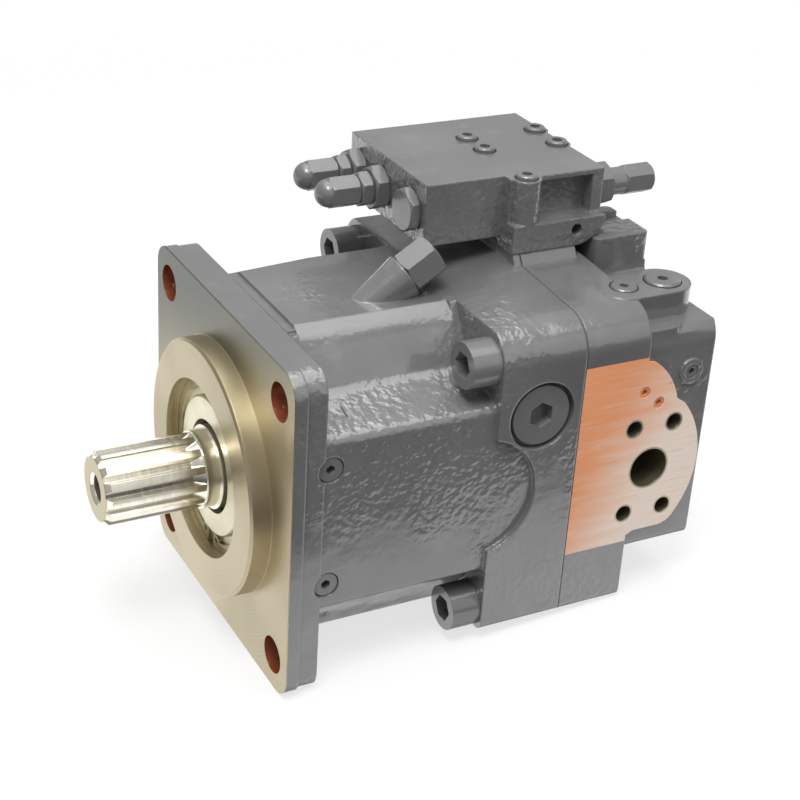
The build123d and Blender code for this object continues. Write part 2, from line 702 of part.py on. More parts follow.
# ================================================================ shaft seal
with BuildPart() as seal_carrier:
    carrier_face_x = carrier_front_x + seat_gap
    ring(shaft_line, carrier_face_x, carrier_back_x - seat_gap, carrier_radius, carrier_bore_radius)
    ring(shaft_line, carrier_face_x, carrier_face_x + 2, carrier_bore_radius + 1, carrier_window_radius)
save(seal_carrier, "seal_carrier")

with BuildPart() as shaft_seal:
    seal_front_x = carrier_front_x + 2 + 2 * seat_gap
    lip_radius = seal_journal_radius + running_gap
    turned(shaft_line, [
        (seal_front_x, carrier_bore_radius - seat_gap), (seal_front_x + 8, carrier_bore_radius - seat_gap),
        (seal_front_x + 8, carrier_bore_radius - 2), (seal_front_x + 2, carrier_bore_radius - 2),
        (seal_front_x + 2, lip_radius + 5), (seal_front_x + 6.5, lip_radius + 3),
        (seal_front_x + 6.5, lip_radius + 0.6), (seal_front_x + 5.5, lip_radius),
        (seal_front_x + 3.5, lip_radius + 1.2), (seal_front_x, lip_radius + 3.5)])
save(shaft_seal, "shaft_seal")

with BuildPart() as circlip:
    clip_back_x = carrier_front_x - seat_gap
    clip_front_x = clip_back_x - circlip_thickness
    ring(shaft_line, clip_front_x, clip_back_x, carrier_radius + 2 - seat_gap, circlip_inner_radius)
    for side in (-1, 1):
        ring(along_x(side * circlip_lug_y, -circlip_lug_z), clip_front_x, clip_back_x, 4.2)
    with BuildSketch(Plane.YZ.offset(clip_front_x - 1)) as gap:
        with Locations((0, -carrier_radius)):
            Rectangle(circlip_lug_y, 2 * (carrier_radius - circlip_inner_radius) + 12)
    extrude(gap.sketch, amount=circlip_thickness + 2, mode=Mode.SUBTRACT)
    for side in (-1, 1):
        bored(along_x(side * circlip_lug_y, -circlip_lug_z), clip_front_x - 1, clip_back_x + 1, 1.7)
save(circlip, "seal_circlip")


# ================================================================ roller bearings of the shaft
def roller_bearing(name, start, width, shaft_radius, outer_radius, roller_radius, count):
    """Write the four pieces of a cylindrical roller bearing on the shaft."""
    end = start + width
    pitch = (shaft_radius + outer_radius) / 2
    inner_track = pitch - roller_radius - roller_play
    outer_track = pitch + roller_radius + roller_play
    rib_height = 0.4 * roller_radius
    rib = 0.12 * width
    roller_start = start + rib + body_gap
    roller_end = end - rib - body_gap
    places = [(pitch * cos(radians(360 * i / count)), pitch * sin(radians(360 * i / count))) for i in range(count)]
    with BuildPart() as outer_race:
        ring(shaft_line, start + seat_gap, end - seat_gap, outer_radius, outer_track - rib_height)
        ring(shaft_line, start + rib, end - rib, outer_track, outer_track - 2 * rib_height, Mode.SUBTRACT)
    save(outer_race, name + "_outer_race")
    with BuildPart() as inner_race:
        ring(shaft_line, start + seat_gap, end - seat_gap, inner_track, shaft_radius + seat_gap)
        ring(shaft_line, end - rib, end - seat_gap, inner_track + rib_height, inner_track - 1)
    save(inner_race, name + "_inner_race")
    with BuildPart() as rollers:
        for y, z in places:
            ring(along_x(y, z), roller_start, roller_end, roller_radius)
    save(rollers, name + "_rollers")
    with BuildPart() as cage:
        ring(shaft_line, start + rib / 3, end - rib / 3, outer_track - rib_height - body_gap,
             inner_track + rib_height + body_gap)
        for y, z in places:
            bored(along_x(y, z), roller_start - body_gap, roller_end + body_gap, roller_radius + body_gap)
    save(cage, name + "_cage")


roller_bearing("front_bearing", front_bearing_x, front_bearing_width, front_journal_radius,
               front_bearing_radius, front_roller_radius, front_roller_count)
roller_bearing("rear_bearing", rear_bearing_x, rear_bearing_width, rear_journal_radius,
               rear_bearing_radius, rear_roller_radius, rear_roller_count)


# ================================================================ drive shaft
with BuildPart() as drive_shaft:
    turned(shaft_line, [
        (shaft_end_x, 0), (shaft_end_x, spline_major_radius - spline_chamfer),
        (shaft_end_x + spline_chamfer, spline_major_radius), (spline_runout_x, spline_major_radius),
        (spline_runout_x, collar_radius), (collar_end_x, collar_radius),
        (collar_end_x, seal_journal_radius), (front_bearing_x + front_bearing_width + seat_gap, front_journal_radius),
        (front_bearing_x + front_bearing_width + seat_gap, shaft_shoulder_radius),
        (shaft_shoulder_end_x, shaft_shoulder_radius), (shaft_shoulder_end_x, shaft_middle_radius),
        (valve_plate_x, shaft_middle_radius), (valve_plate_x, rear_journal_radius),
        (rear_bearing_back_x + 1, rear_journal_radius), (rear_bearing_back_x + 2, rear_journal_radius - 1),
        (rear_bearing_back_x + 2, 0)])
    # Spaces between the spline teeth, run out by a cone at the collar
    with BuildSketch(Plane.YZ.offset(shaft_end_x - 1)) as tooth_spaces:
        with PolarLocations(0, spline_teeth):
            Polygon((spline_minor_radius, -1.3), (spline_major_radius + 2, -4.4),
                    (spline_major_radius + 2, 4.4), (spline_minor_radius, 1.3), align=None)
    extrude(tooth_spaces.sketch, amount=spline_runout_x - shaft_end_x + 1, mode=Mode.SUBTRACT)
    turned(shaft_line, [
        (spline_end_x, spline_minor_radius - 1), (spline_end_x, spline_minor_radius),
        (spline_runout_x, spline_major_radius), (spline_runout_x, spline_minor_radius - 1)])
    # Centre hole in the shaft's end
    turned(shaft_line, [
        (shaft_end_x - 1, 0), (shaft_end_x - 1, centre_hole_radius + 3), (shaft_end_x + 2, centre_hole_radius),
        (shaft_end_x + centre_hole_depth, centre_hole_radius),
        (shaft_end_x + centre_hole_depth + centre_hole_radius / 2, 0)], Mode.SUBTRACT)
save(drive_shaft, "drive_shaft")


# ================================================================ rotating group
piston_angles = [360 * i / piston_count for i in range(piston_count)]
piston_places = [(pitch_radius * cos(radians(a)), pitch_radius * sin(radians(a))) for a in piston_angles]

with BuildPart() as cylinder_block:
    ring(shaft_line, block_front_x, block_back_x, block_radius, shaft_middle_radius + seat_gap)
    bored(shaft_line, block_front_x - 1, spring_chamber_end_x, spring_chamber_radius)
    for y, z in piston_places:
        bored(along_x(y, z), block_front_x - 1, block_bore_end_x, piston_radius + running_gap)
    for angle in piston_angles:
        extrude(kidney(Plane.YZ.offset(block_bore_end_x - 1), angle, 4, 10), amount=20, mode=Mode.SUBTRACT)
save(cylinder_block, "cylinder_block")

with BuildPart() as pistons:
    neck_x = tilt_axis_x + sqrt(piston_ball_radius ** 2 - piston_neck_radius ** 2)
    bore_start_x = piston_front_x + 13
    for y, z in piston_places:
        piston_line = along_x(y, z)
        with BuildSketch(piston_line) as outline:
            with BuildLine():
                ThreePointArc(
                    (tilt_axis_x - piston_ball_radius, 0), (tilt_axis_x, piston_ball_radius),
                    (neck_x, piston_neck_radius))
                Polyline(
                    (neck_x, piston_neck_radius), (piston_front_x - 3, piston_neck_radius),
                    (piston_front_x, piston_radius), (piston_back_x, piston_radius),
                    (piston_back_x, piston_bore_radius), (bore_start_x, piston_bore_radius),
                    (bore_start_x, 0), (tilt_axis_x - piston_ball_radius, 0))
            make_face()
        revolve(outline.sketch, axis=Axis(piston_line.origin, piston_line.x_dir))
save(pistons, "pistons")

with BuildPart() as slippers:
    base_x = tilt_axis_x - running_face_offset + body_gap
    for y, z in piston_places:
        ring(along_x(y, z), base_x, base_x + slipper_base_thickness, slipper_radius)
        ring(along_x(y, z), base_x + slipper_base_thickness - 1, slipper_lip_x, slipper_neck_radius)
        with Locations((tilt_axis_x, y, z)):
            Sphere(piston_ball_radius + roller_play, mode=Mode.SUBTRACT)
        bored(along_x(y, z), base_x - 1, base_x + 0.8, slipper_neck_radius - 2)
        bored(along_x(y, z), base_x, base_x + 4, 1)
save(slippers, "slippers")

with BuildPart() as retaining_plate:
    plate_x = base_x + slipper_base_thickness + 0.6
    ring(shaft_line, plate_x, plate_x + retainer_thickness, retainer_radius, guide_ball_radius - 5)
    with Locations((tilt_axis_x, 0, 0)):
        Sphere(guide_ball_radius + roller_play, mode=Mode.SUBTRACT)
    for y, z in piston_places:
        bored(along_x(y, z), plate_x - 1, plate_x + retainer_thickness + 1, slipper_neck_radius + 1.2)
save(retaining_plate, "retaining_plate")

with BuildPart() as guide_ball:
    ball_front_x = tilt_axis_x - 8
    ball_front_radius = sqrt(guide_ball_radius ** 2 - 8 ** 2)
    skirt_x = tilt_axis_x + sqrt(guide_ball_radius ** 2 - guide_skirt_radius ** 2)
    with BuildSketch(shaft_line) as outline:
        with BuildLine():
            ThreePointArc((ball_front_x, ball_front_radius), (tilt_axis_x, guide_ball_radius), (skirt_x, guide_skirt_radius))
            Polyline(
                (skirt_x, guide_skirt_radius), (guide_ball_end_x, guide_skirt_radius),
                (guide_ball_end_x, shaft_middle_radius + seat_gap), (ball_front_x, shaft_middle_radius + seat_gap),
                (ball_front_x, ball_front_radius))
        make_face()
    revolve(outline.sketch, axis=Axis.X)
save(guide_ball, "guide_ball")

with BuildPart() as washers:
    ring(shaft_line, guide_ball_end_x + seat_gap, spring_front_x, spring_chamber_radius - 1, shaft_middle_radius + 0.5)
    ring(shaft_line, spring_back_x, spring_chamber_end_x - seat_gap, spring_chamber_radius - 1, shaft_middle_radius + 0.5)
save(washers, "spring_washers")

with BuildPart() as block_spring:
    coil(shaft_line, spring_front_x + seat_gap, spring_back_x - seat_gap, 24.5, 3.5, 5)
save(block_spring, "block_spring")

with BuildPart() as valve_plate:
    valve_plane = Plane.YZ.offset(valve_plate_x - 1)
    ring(shaft_line, valve_plate_x, port_plate_x - seat_gap, valve_plate_radius, valve_plate_bore_radius)
    for middle in (-26, 26):
        extrude(kidney(valve_plane, middle, kidney_half_width, 16), amount=10, mode=Mode.SUBTRACT)
    for middle in (-39, -13, 13, 39):
        extrude(kidney(valve_plane, 180 + middle, kidney_half_width - 0.5, 4.5), amount=10, mode=Mode.SUBTRACT)
    bored(valve_pin_line, valve_plate_x - 1, port_plate_x, valve_pin_radius + seat_gap)
save(valve_plate, "valve_plate")

with BuildPart() as valve_plate_pin:
    ring(valve_pin_line, valve_plate_x + 2, valve_pin_end_x, valve_pin_radius)
save(valve_plate_pin, "valve_plate_pin")


# ================================================================ swashplate and cradle
def cradle_arc(outer, inner, half_angle, side, near, far):
    """A piece of a ring about the tilt axis, in front of it, between two distances from the middle."""
    reach = 2 * outer
    with BuildSketch(Plane.XZ.offset(-side * near)) as arc:
        with Locations((tilt_axis_x, 0)):
            Circle(outer)
            Circle(inner, mode=Mode.SUBTRACT)
        with BuildLine():
            Polyline(
                (tilt_axis_x, 0), (tilt_axis_x - reach, reach * tan(radians(half_angle))),
                (tilt_axis_x - reach, -reach * tan(radians(half_angle))), close=True)
        make_face(mode=Mode.INTERSECT)
    return extrude(arc.sketch, amount=-side * (far - near))


running_face_x = tilt_axis_x - running_face_offset
swash_front_x = running_face_x - swash_disc_thickness
roller_circle = cradle_radius + roller_play + cradle_roller_radius
roller_angles = [cradle_roller_step * (i - (cradle_roller_count - 1) / 2) for i in range(cradle_roller_count)]

with BuildPart() as swashplate:
    ring(shaft_line, swash_front_x, running_face_x, swash_disc_radius)
    for side in (-1, 1):
        with BuildSketch(Plane.XZ.offset(-side * cradle_inner_y)) as leg:
            with Locations((tilt_axis_x, 0)):
                Circle(cradle_radius)
            with Locations((tilt_axis_x - cradle_radius / 2 - 6, 0)):
                Rectangle(cradle_radius - 12, 2 * cradle_half_height, mode=Mode.INTERSECT)
        extrude(leg.sketch, amount=-side * (cradle_outer_y - cradle_inner_y))
    for bottom, top in ((swash_disc_radius - 3, stroke_piston_z + 6), (counter_piston_z - 7, 3 - swash_disc_radius)):
        with BuildSketch(Plane.YZ.offset(swash_front_x)) as arm:
            with Locations((0, (bottom + top) / 2)):
                Rectangle(2 * arm_half_width, top - bottom)
        extrude(arm.sketch, amount=tilt_axis_x - piston_tip_radius - body_gap - swash_front_x)
    turned(shaft_line, [
        (swash_front_x - 1, 0), (swash_front_x - 1, 34), (swash_front_x, 34), (running_face_x, 26.5),
        (running_face_x + 1, 26.5), (running_face_x + 1, 0)], Mode.SUBTRACT)
save(swashplate, "swashplate")

with BuildPart() as cradle_rollers:
    for side in (-1, 1):
        for angle in roller_angles:
            roller_line = line_through(
                (tilt_axis_x - roller_circle * cos(radians(angle)), 0, roller_circle * sin(radians(angle))),
                (0, side, 0))
            ring(roller_line, cradle_inner_y + 3, cradle_outer_y - 3, cradle_roller_radius)
save(cradle_rollers, "cradle_rollers")

with BuildPart() as cradle_cages:
    for side in (-1, 1):
        cradle_arc(roller_circle + 1.1, roller_circle - 1.1, 30, side, cradle_inner_y + 1, cradle_outer_y - 1)
        for angle in roller_angles:
            roller_line = line_through(
                (tilt_axis_x - roller_circle * cos(radians(angle)), 0, roller_circle * sin(radians(angle))),
                (0, side, 0))
            bored(roller_line, cradle_inner_y + 3 - body_gap, cradle_outer_y - 3 + body_gap,
                  cradle_roller_radius + body_gap)
save(cradle_cages, "cradle_cages")

with BuildPart() as cradle_races:
    for side in (-1, 1):
        cradle_arc(cradle_seat_radius - seat_gap, cradle_seat_radius - cradle_race_thickness, 37, side,
                   cradle_inner_y + 0.5, cradle_outer_y - 0.5)
save(cradle_races, "cradle_races")


# ================================================================ stroke and counter pistons
with BuildPart() as stroke_sleeve:
    ring(stroke_line, stroke_sleeve_x, housing_length - 0.2, stroke_sleeve_radius, stroke_piston_radius + running_gap)
save(stroke_sleeve, "stroke_piston_sleeve")

with BuildPart() as counter_sleeve:
    ring(counter_line, counter_sleeve_x, housing_length - 0.2, counter_sleeve_radius,
         counter_piston_radius + running_gap)
save(counter_sleeve, "counter_piston_sleeve")

with BuildPart() as stroke_piston:
    round_ended(stroke_line, tilt_axis_x, piston_tip_radius, stroke_piston_radius, 146, 7, 106)
save(stroke_piston, "stroke_piston")

with BuildPart() as counter_piston:
    round_ended(counter_line, tilt_axis_x, piston_tip_radius, counter_piston_radius, 130, 6, counter_spring_x)
save(counter_piston, "counter_piston")

with BuildPart() as counter_spring:
    coil(counter_line, counter_spring_x + seat_gap, port_plate_x - seat_gap, 4.8, 1.8, 10)
save(counter_spring, "counter_spring")


# ================================================================ control block
def block_outline(left, bottom_left, plane):
    """Side outline of the control block behind a given left edge."""
    with BuildSketch(plane) as outline:
        with BuildLine():
            Polyline(
                (left, bottom_left), (foot_x, bottom_left), (foot_x, foot_z), (foot_rise_x, foot_z),
                (foot_rise_x + 6, turret_top_z + seat_gap), (control_right_x, turret_top_z + seat_gap),
                (control_right_x, control_top_z), (left, control_top_z), close=True)
        make_face()
    return outline.sketch


pocket_left_x = 193.0
pocket_right_x = 229.0
pocket_floor_z = 127.0
pocket_roof_z = 155.0
pocket_back_y = -3.0

with BuildPart() as control_block:
    extrude(block_outline(control_left_x, control_underside_z, Plane.XZ.offset(-control_far_y)),
            amount=control_far_y - control_near_y)
    with BuildSketch(Plane.XZ.offset(-control_near_y - 1)) as near_part:
        with BuildLine():
            Polyline(
                (foot_x + 4, foot_z), (foot_rise_x, foot_z), (foot_rise_x + 6, turret_top_z + seat_gap),
                (control_right_x, turret_top_z + seat_gap), (control_right_x, control_top_z),
                (foot_x + 4, control_top_z), close=True)
        make_face()
    extrude(near_part.sketch, amount=control_near_y - foot_near_y + 1)
    # Boss of the near screw, run out into the foot
    near_x, near_y = control_screws[-1]
    turned(line_through((near_x, near_y, 0), (0, 0, 1)), [
        (foot_z + 2, 0), (foot_z + 2, 1), (pocket_floor_z + 2, 9), (control_top_z, 9), (control_top_z, 0)])
    # Open pocket in the near face and the hole below it
    with BuildSketch(Plane.XZ.offset(-pocket_back_y)) as pocket:
        with Locations(((pocket_left_x + pocket_right_x) / 2, (pocket_floor_z + pocket_roof_z) / 2)):
            Rectangle(pocket_right_x - pocket_left_x, pocket_roof_z - pocket_floor_z)
    extrude(pocket.sketch, amount=20, mode=Mode.SUBTRACT)
    bored(line_through((220.5, 0, 121), (0, -1, 0)), 0, 20, 3.5)
    for x, y in control_screws:
        screw_line = line_through((x, y, 0), (0, 0, 1))
        bored(screw_line, foot_z - 1, control_top_z + 1, control_screw_radius + 0.4)
        bored(screw_line, control_top_z - control_screw_sink, control_top_z + 1, control_screw_head_radius + 0.6)
    # Valve bores
    for line, spool_end in ((pressure_line, 54.0), (flow_line, 98.0), (power_line, 90.0)):
        bored(line, -1, adjuster_shank_length, adjuster_shank_radius + seat_gap)
        bored(line, adjuster_shank_length - 1, spring_room_end, spring_room_radius)
        bored(line, spring_room_end - 1, spool_end + 2, spool_radius + running_gap)
    bored(power_line, 90, control_right_x - control_left_x - adjuster_shank_length, spool_radius + running_gap)
    bored(power_line, control_right_x - control_left_x - adjuster_shank_length,
          control_right_x - control_left_x + 1, adjuster_shank_radius + seat_gap)
save(control_block, "control_block")

with BuildPart() as control_screw_set:
    for x, y in control_screws:
        seat = control_top_z - control_screw_sink + seat_gap
        socket_screw(line_through((x, y, 0), (0, 0, -1)), -seat, -control_screw_tip_z, control_screw_radius,
                     control_screw_head_radius, control_screw_head_height, 6)
save(control_screw_set, "control_block_screws")

with BuildPart() as end_plug:
    end_plug_line = line_through((control_left_x, power_y, spool_z), (-1, 0, 0))
    hexagon(end_plug_line, seat_gap, 6.5, fitting_across_flats)
    ring(end_plug_line, -adjuster_shank_length + 0.5, seat_gap, adjuster_shank_radius)
save(end_plug, "control_end_plug")


# ================================================================ adjusters, spools and springs
def adjuster_body(line, hexagon_length, neck_length):
    """Screwed-in body that guides an adjusting screw."""
    hexagon(line, -hexagon_length, -seat_gap, fitting_across_flats)
    ring(line, -seat_gap, adjuster_shank_length - seat_gap, adjuster_shank_radius)
    if neck_length > 0:
        ring(line, -hexagon_length - neck_length, -hexagon_length, 8.5)
    bored(line, -hexagon_length - neck_length - 1, adjuster_shank_length + 1, adjusting_screw_radius + running_gap)


def adjuster_cap(line, start, length, dome):
    """Hexagonal cap nut with a rounded end over the tail of an adjusting screw."""
    hexagon(line, start - length, start, cap_across_flats)
    with BuildSketch(line) as outline:
        with BuildLine():
            ThreePointArc(
                (start - length, cap_across_flats / 2), (start - length - 0.7 * dome, cap_across_flats / 3),
                (start - length - dome, 0))
            Polyline((start - length - dome, 0), (start - length, 0), (start - length, cap_across_flats / 2))
        make_face()
    revolve(outline.sketch, axis=Axis(line.origin, line.x_dir))
    bored(line, start - length, start + 1, adjusting_screw_radius + 1)


def adjusting_screw(line, tail):
    """Adjusting screw with the seat plate that loads the spool's spring."""
    ring(line, tail, adjuster_shank_length + body_gap, adjusting_screw_radius)
    ring(line, adjuster_shank_length + body_gap, screw_plate_end, spring_plate_radius)
    hexagon(line, tail - 1, tail + 3, 4, Mode.SUBTRACT)


def spool(line, end):
    """Grooved valve spool with the seat plate of its spring."""
    plate_start = spring_room_end - 2.5
    ring(line, plate_start, plate_start + 2, spring_plate_radius)
    ring(line, plate_start + 2, end, spool_radius)
    waist_length = (end - spring_room_end) / 5
    for waist in (1, 3):
        ring(line, spring_room_end + waist * waist_length, spring_room_end + (waist + 1) * waist_length,
             spool_radius + 1, spool_radius - 2.5, Mode.SUBTRACT)


def spool_spring(line):
    """Spring between an adjusting screw's plate and a spool's plate."""
    coil(line, screw_plate_end + seat_gap, spring_room_end - 2.5 - seat_gap, 5, 1.5, 4.5)


left_lines = (pressure_line, flow_line)
left_hexagon = 9.0
lock_nut_thickness = 8.0
left_cap_length = 19.0
right_hexagon = 18.0
right_neck = 11.5
right_cap_length = 20.0

with BuildPart() as adjuster_bodies:
    for line in left_lines:
        adjuster_body(line, left_hexagon, 0)
save(adjuster_bodies, "adjuster_bodies")

with BuildPart() as lock_nuts:
    for line in left_lines:
        nut_end = -left_hexagon - seat_gap
        hexagon(line, nut_end - lock_nut_thickness, nut_end, lock_nut_across_flats)
        bored(line, nut_end - lock_nut_thickness - 1, nut_end + 1, adjusting_screw_radius + running_gap)
save(lock_nuts, "adjuster_lock_nuts")

with BuildPart() as adjuster_caps:
    for line in left_lines:
        adjuster_cap(line, -left_hexagon - lock_nut_thickness - 2 * seat_gap, left_cap_length, 7.5)
save(adjuster_caps, "adjuster_caps")

with BuildPart() as power_adjuster_body:
    adjuster_body(power_line, right_hexagon, right_neck)
save(power_adjuster_body, "power_adjuster_body")

with BuildPart() as power_adjuster_cap:
    adjuster_cap(power_line, -right_hexagon - right_neck - seat_gap, right_cap_length, 2.5)
save(power_adjuster_cap, "power_adjuster_cap")

for name, line, tail, end in (
        ("pressure", pressure_line, -33.0, 54.0), ("flow", flow_line, -33.0, 98.0), ("power", power_line, -46.0, 90.0)):
    with BuildPart() as screw:
        adjusting_screw(line, tail)
    save(screw, name + "_adjusting_screw")
    with BuildPart() as valve_spool:
        spool(line, end)
    save(valve_spool, name + "_spool")
    with BuildPart() as spring:
        spool_spring(line)
    save(spring, name + "_spring")
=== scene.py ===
import bmesh
import bpy
import json
from math import cos, radians, sin, sqrt, tau
from mathutils import Matrix, Vector

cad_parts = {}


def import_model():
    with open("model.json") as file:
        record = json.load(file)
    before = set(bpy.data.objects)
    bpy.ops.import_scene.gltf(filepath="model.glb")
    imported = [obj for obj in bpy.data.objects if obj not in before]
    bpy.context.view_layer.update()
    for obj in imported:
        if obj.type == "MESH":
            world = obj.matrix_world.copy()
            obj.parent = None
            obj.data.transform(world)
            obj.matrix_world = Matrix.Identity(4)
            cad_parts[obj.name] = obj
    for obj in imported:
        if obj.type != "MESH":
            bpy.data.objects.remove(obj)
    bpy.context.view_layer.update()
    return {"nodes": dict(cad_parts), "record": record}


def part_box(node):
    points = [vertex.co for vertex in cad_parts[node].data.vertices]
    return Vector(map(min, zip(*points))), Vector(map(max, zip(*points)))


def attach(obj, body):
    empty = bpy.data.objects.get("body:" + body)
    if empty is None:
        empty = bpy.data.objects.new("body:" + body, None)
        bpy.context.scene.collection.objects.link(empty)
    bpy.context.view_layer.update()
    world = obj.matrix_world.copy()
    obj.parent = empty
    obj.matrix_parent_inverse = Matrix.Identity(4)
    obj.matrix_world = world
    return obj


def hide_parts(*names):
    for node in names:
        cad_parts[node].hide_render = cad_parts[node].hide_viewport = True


# The looks of the axial piston pump. Lengths are in metres, apart from those of the forms, in the CAD's
# own frame: the origin is the centre of the flange's front face, -X runs out along the shaft and +Z is up.

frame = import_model()
nodes = frame["nodes"]
mounts = {mount["name"]: mount for mount in frame["record"]["mounts"]}


# ---------------------------------------------------------------- places on the pump
def metres(mount, size):
    """A size of one of the record's mounts."""
    return mounts[mount]["dims"][size] / 1000


spigot_radius = metres("mounting_spigot", "r_mm")
flange_back_x = 0.020
recess_radius = 0.056                   # of the turned recess round the seal carrier
bolt_half_pitch = metres("flange_bolts", "spacing_x_mm") / 2
bolt_hole_radius = metres("flange_bolts", "hole_r_mm")
port_x, port_face_y, port_z = mounts["pressure_port"]["pos_m"]
port_screw_pitch_x = metres("pressure_port_bolts", "spacing_x_mm") / 2
port_screw_pitch_z = metres("pressure_port_bolts", "spacing_y_mm") / 2
primed_bottom_z, primed_top_z = -0.0468, 0.0765
shaft_end_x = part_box("drive_shaft")[0].x
flange_foot_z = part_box("pump_housing")[0].z
body_foot_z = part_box("joint_gasket")[0].z


# ---------------------------------------------------------------- colours
def linear(red, green, blue):
    """A colour given in display values from 0 to 255, as the shader wants it."""
    channels = []
    for value in (red, green, blue):
        share = value / 255
        channels.append(share / 12.92 if share <= 0.04045 else ((share + 0.055) / 1.055) ** 2.4)
    return (*channels, 1.0)


paint_grey = linear(110, 110, 111)
paint_dark = linear(100, 100, 101)
paint_light = linear(119, 119, 120)
# lighter grey painted on undersides: painted light bounced up from the floor
underside_painted_light = linear(128, 128, 129)
champagne = linear(186, 172, 142)
champagne_dark = linear(160, 147, 114)
champagne_glint = linear(224, 218, 194)
# darker, colder grey painted towards the top of the flange's turned face: a painted reflection
painted_reflection_grey = linear(74, 82, 80)
primer_orange = linear(244, 162, 112)
primer_pale = linear(252, 234, 220)
primer_wiped = linear(232, 206, 190)
primer_deep = linear(170, 96, 60)
bare_iron = linear(186, 180, 160)
bore_dark = linear(112, 100, 80)
bore_light = linear(168, 158, 134)
rust_brown = linear(112, 42, 8)
rust_light = linear(140, 62, 20)


# ---------------------------------------------------------------- node graph helpers
class Graph:
    """A material's node tree, with short calls for the nodes used here."""

    def __init__(self, name):
        self.material = bpy.data.materials.new(name)
        self.material.use_nodes = True
        self.tree = self.material.node_tree
        self.tree.nodes.clear()
        self.output = self.tree.nodes.new("ShaderNodeOutputMaterial")
        self.shader = self.tree.nodes.new("ShaderNodeBsdfPrincipled")
        self.tree.links.new(self.shader.outputs[0], self.output.inputs[0])
        self.place = self.tree.nodes.new("ShaderNodeTexCoord").outputs["Object"]

    def plug(self, value, socket):
        """Link a value to a socket, or set it there when it is plain."""
        if isinstance(value, bpy.types.NodeSocket):
            self.tree.links.new(value, socket)
        else:
            socket.default_value = value

    def maths(self, operation, first, second=0.0, third=0.0, clamp=False):
        node = self.tree.nodes.new("ShaderNodeMath")
        node.operation = operation
        node.use_clamp = clamp
        for value, socket in zip((first, second, third), node.inputs):
            self.plug(value, socket)
        return node.outputs[0]

    def between(self, value, low, high, to_low=0.0, to_high=1.0):
        """A value mapped smoothly from one range to another, and held at its ends."""
        node = self.tree.nodes.new("ShaderNodeMapRange")
        node.interpolation_type = "SMOOTHSTEP"
        for item, socket in zip((value, low, high, to_low, to_high), node.inputs):
            self.plug(item, socket)
        return node.outputs[0]

    def mixed(self, share, first, second):
        """Two colours mixed by a share."""
        node = self.tree.nodes.new("ShaderNodeMix")
        node.data_type = "RGBA"
        self.plug(share, node.inputs[0])
        self.plug(first, node.inputs[6])
        self.plug(second, node.inputs[7])
        return node.outputs[2]

    def split(self, vector):
        node = self.tree.nodes.new("ShaderNodeSeparateXYZ")
        self.plug(vector, node.inputs[0])
        return node.outputs

    def joined(self, x, y, z):
        node = self.tree.nodes.new("ShaderNodeCombineXYZ")
        for value, socket in zip((x, y, z), node.inputs):
            self.plug(value, socket)
        return node.outputs[0]

    def length(self, vector):
        node = self.tree.nodes.new("ShaderNodeVectorMath")
        node.operation = "LENGTH"
        self.plug(vector, node.inputs[0])
        return node.outputs["Value"]

    def either(self, share, first, second):
        """One of two normals: the second where the share is 1."""
        node = self.tree.nodes.new("ShaderNodeMix")
        node.data_type = "VECTOR"
        self.plug(share, node.inputs[0])
        self.plug(first, node.inputs[4])
        self.plug(second, node.inputs[5])
        return node.outputs[1]

    def product(self, *values):
        """Several values multiplied together."""
        result = values[0]
        for value in values[1:]:
            result = self.maths("MULTIPLY", result, value)
        return result

    def blended(self, share, first, second):
        """Two values mixed by a share."""
        kept = self.product(first, self.maths("SUBTRACT", 1.0, share))
        return self.maths("ADD", kept, self.product(second, share))

    def stretched(self, scale):
        """The object's own coordinates, stretched by a factor along each axis."""
        node = self.tree.nodes.new("ShaderNodeMapping")
        self.plug(self.place, node.inputs[0])
        node.inputs["Scale"].default_value = scale
        return node.outputs[0]

    def noise(self, scale, detail=3.0, rough=0.55, vector=None):
        node = self.tree.nodes.new("ShaderNodeTexNoise")
        self.plug(self.place if vector is None else vector, node.inputs["Vector"])
        node.inputs["Scale"].default_value = scale
        node.inputs["Detail"].default_value = detail
        node.inputs["Roughness"].default_value = rough
        return node.outputs[0]

    def bump(self, height, distance, strength=1.0, under=None):
        node = self.tree.nodes.new("ShaderNodeBump")
        node.inputs["Strength"].default_value = strength
        node.inputs["Distance"].default_value = distance
        self.plug(height, node.inputs["Height"])
        if under is not None:
            self.plug(under, node.inputs["Normal"])
        return node.outputs[0]

    def rounded(self, radius):
        """A normal that softens the model's edges."""
        node = self.tree.nodes.new("ShaderNodeBevel")
        node.samples = 4
        node.inputs["Radius"].default_value = radius
        return node.outputs[0]

    def facing(self):
        """The surface's direction, as X, Y and Z."""
        return self.split(self.tree.nodes.new("ShaderNodeNewGeometry").outputs["Normal"])

    def radius_about_shaft(self):
        """Distance from the shaft axis."""
        x, y, z = self.split(self.place)
        return self.length(self.joined(0.0, y, z))

    def finish(self, **sockets):
        """Set the shader's sockets by their names and return the material."""
        for name, value in sockets.items():
            self.plug(value, self.shader.inputs[name.replace("_", " ")])
        return self.material


def dress(material, *names):
    """Give CAD nodes a material."""
    for name in names:
        for slot in nodes[name].material_slots:
            slot.material = material


# ---------------------------------------------------------------- paint
coat_weight = 0.9
coat = {"Coat_Roughness": 0.1, "Coat_IOR": 1.75}


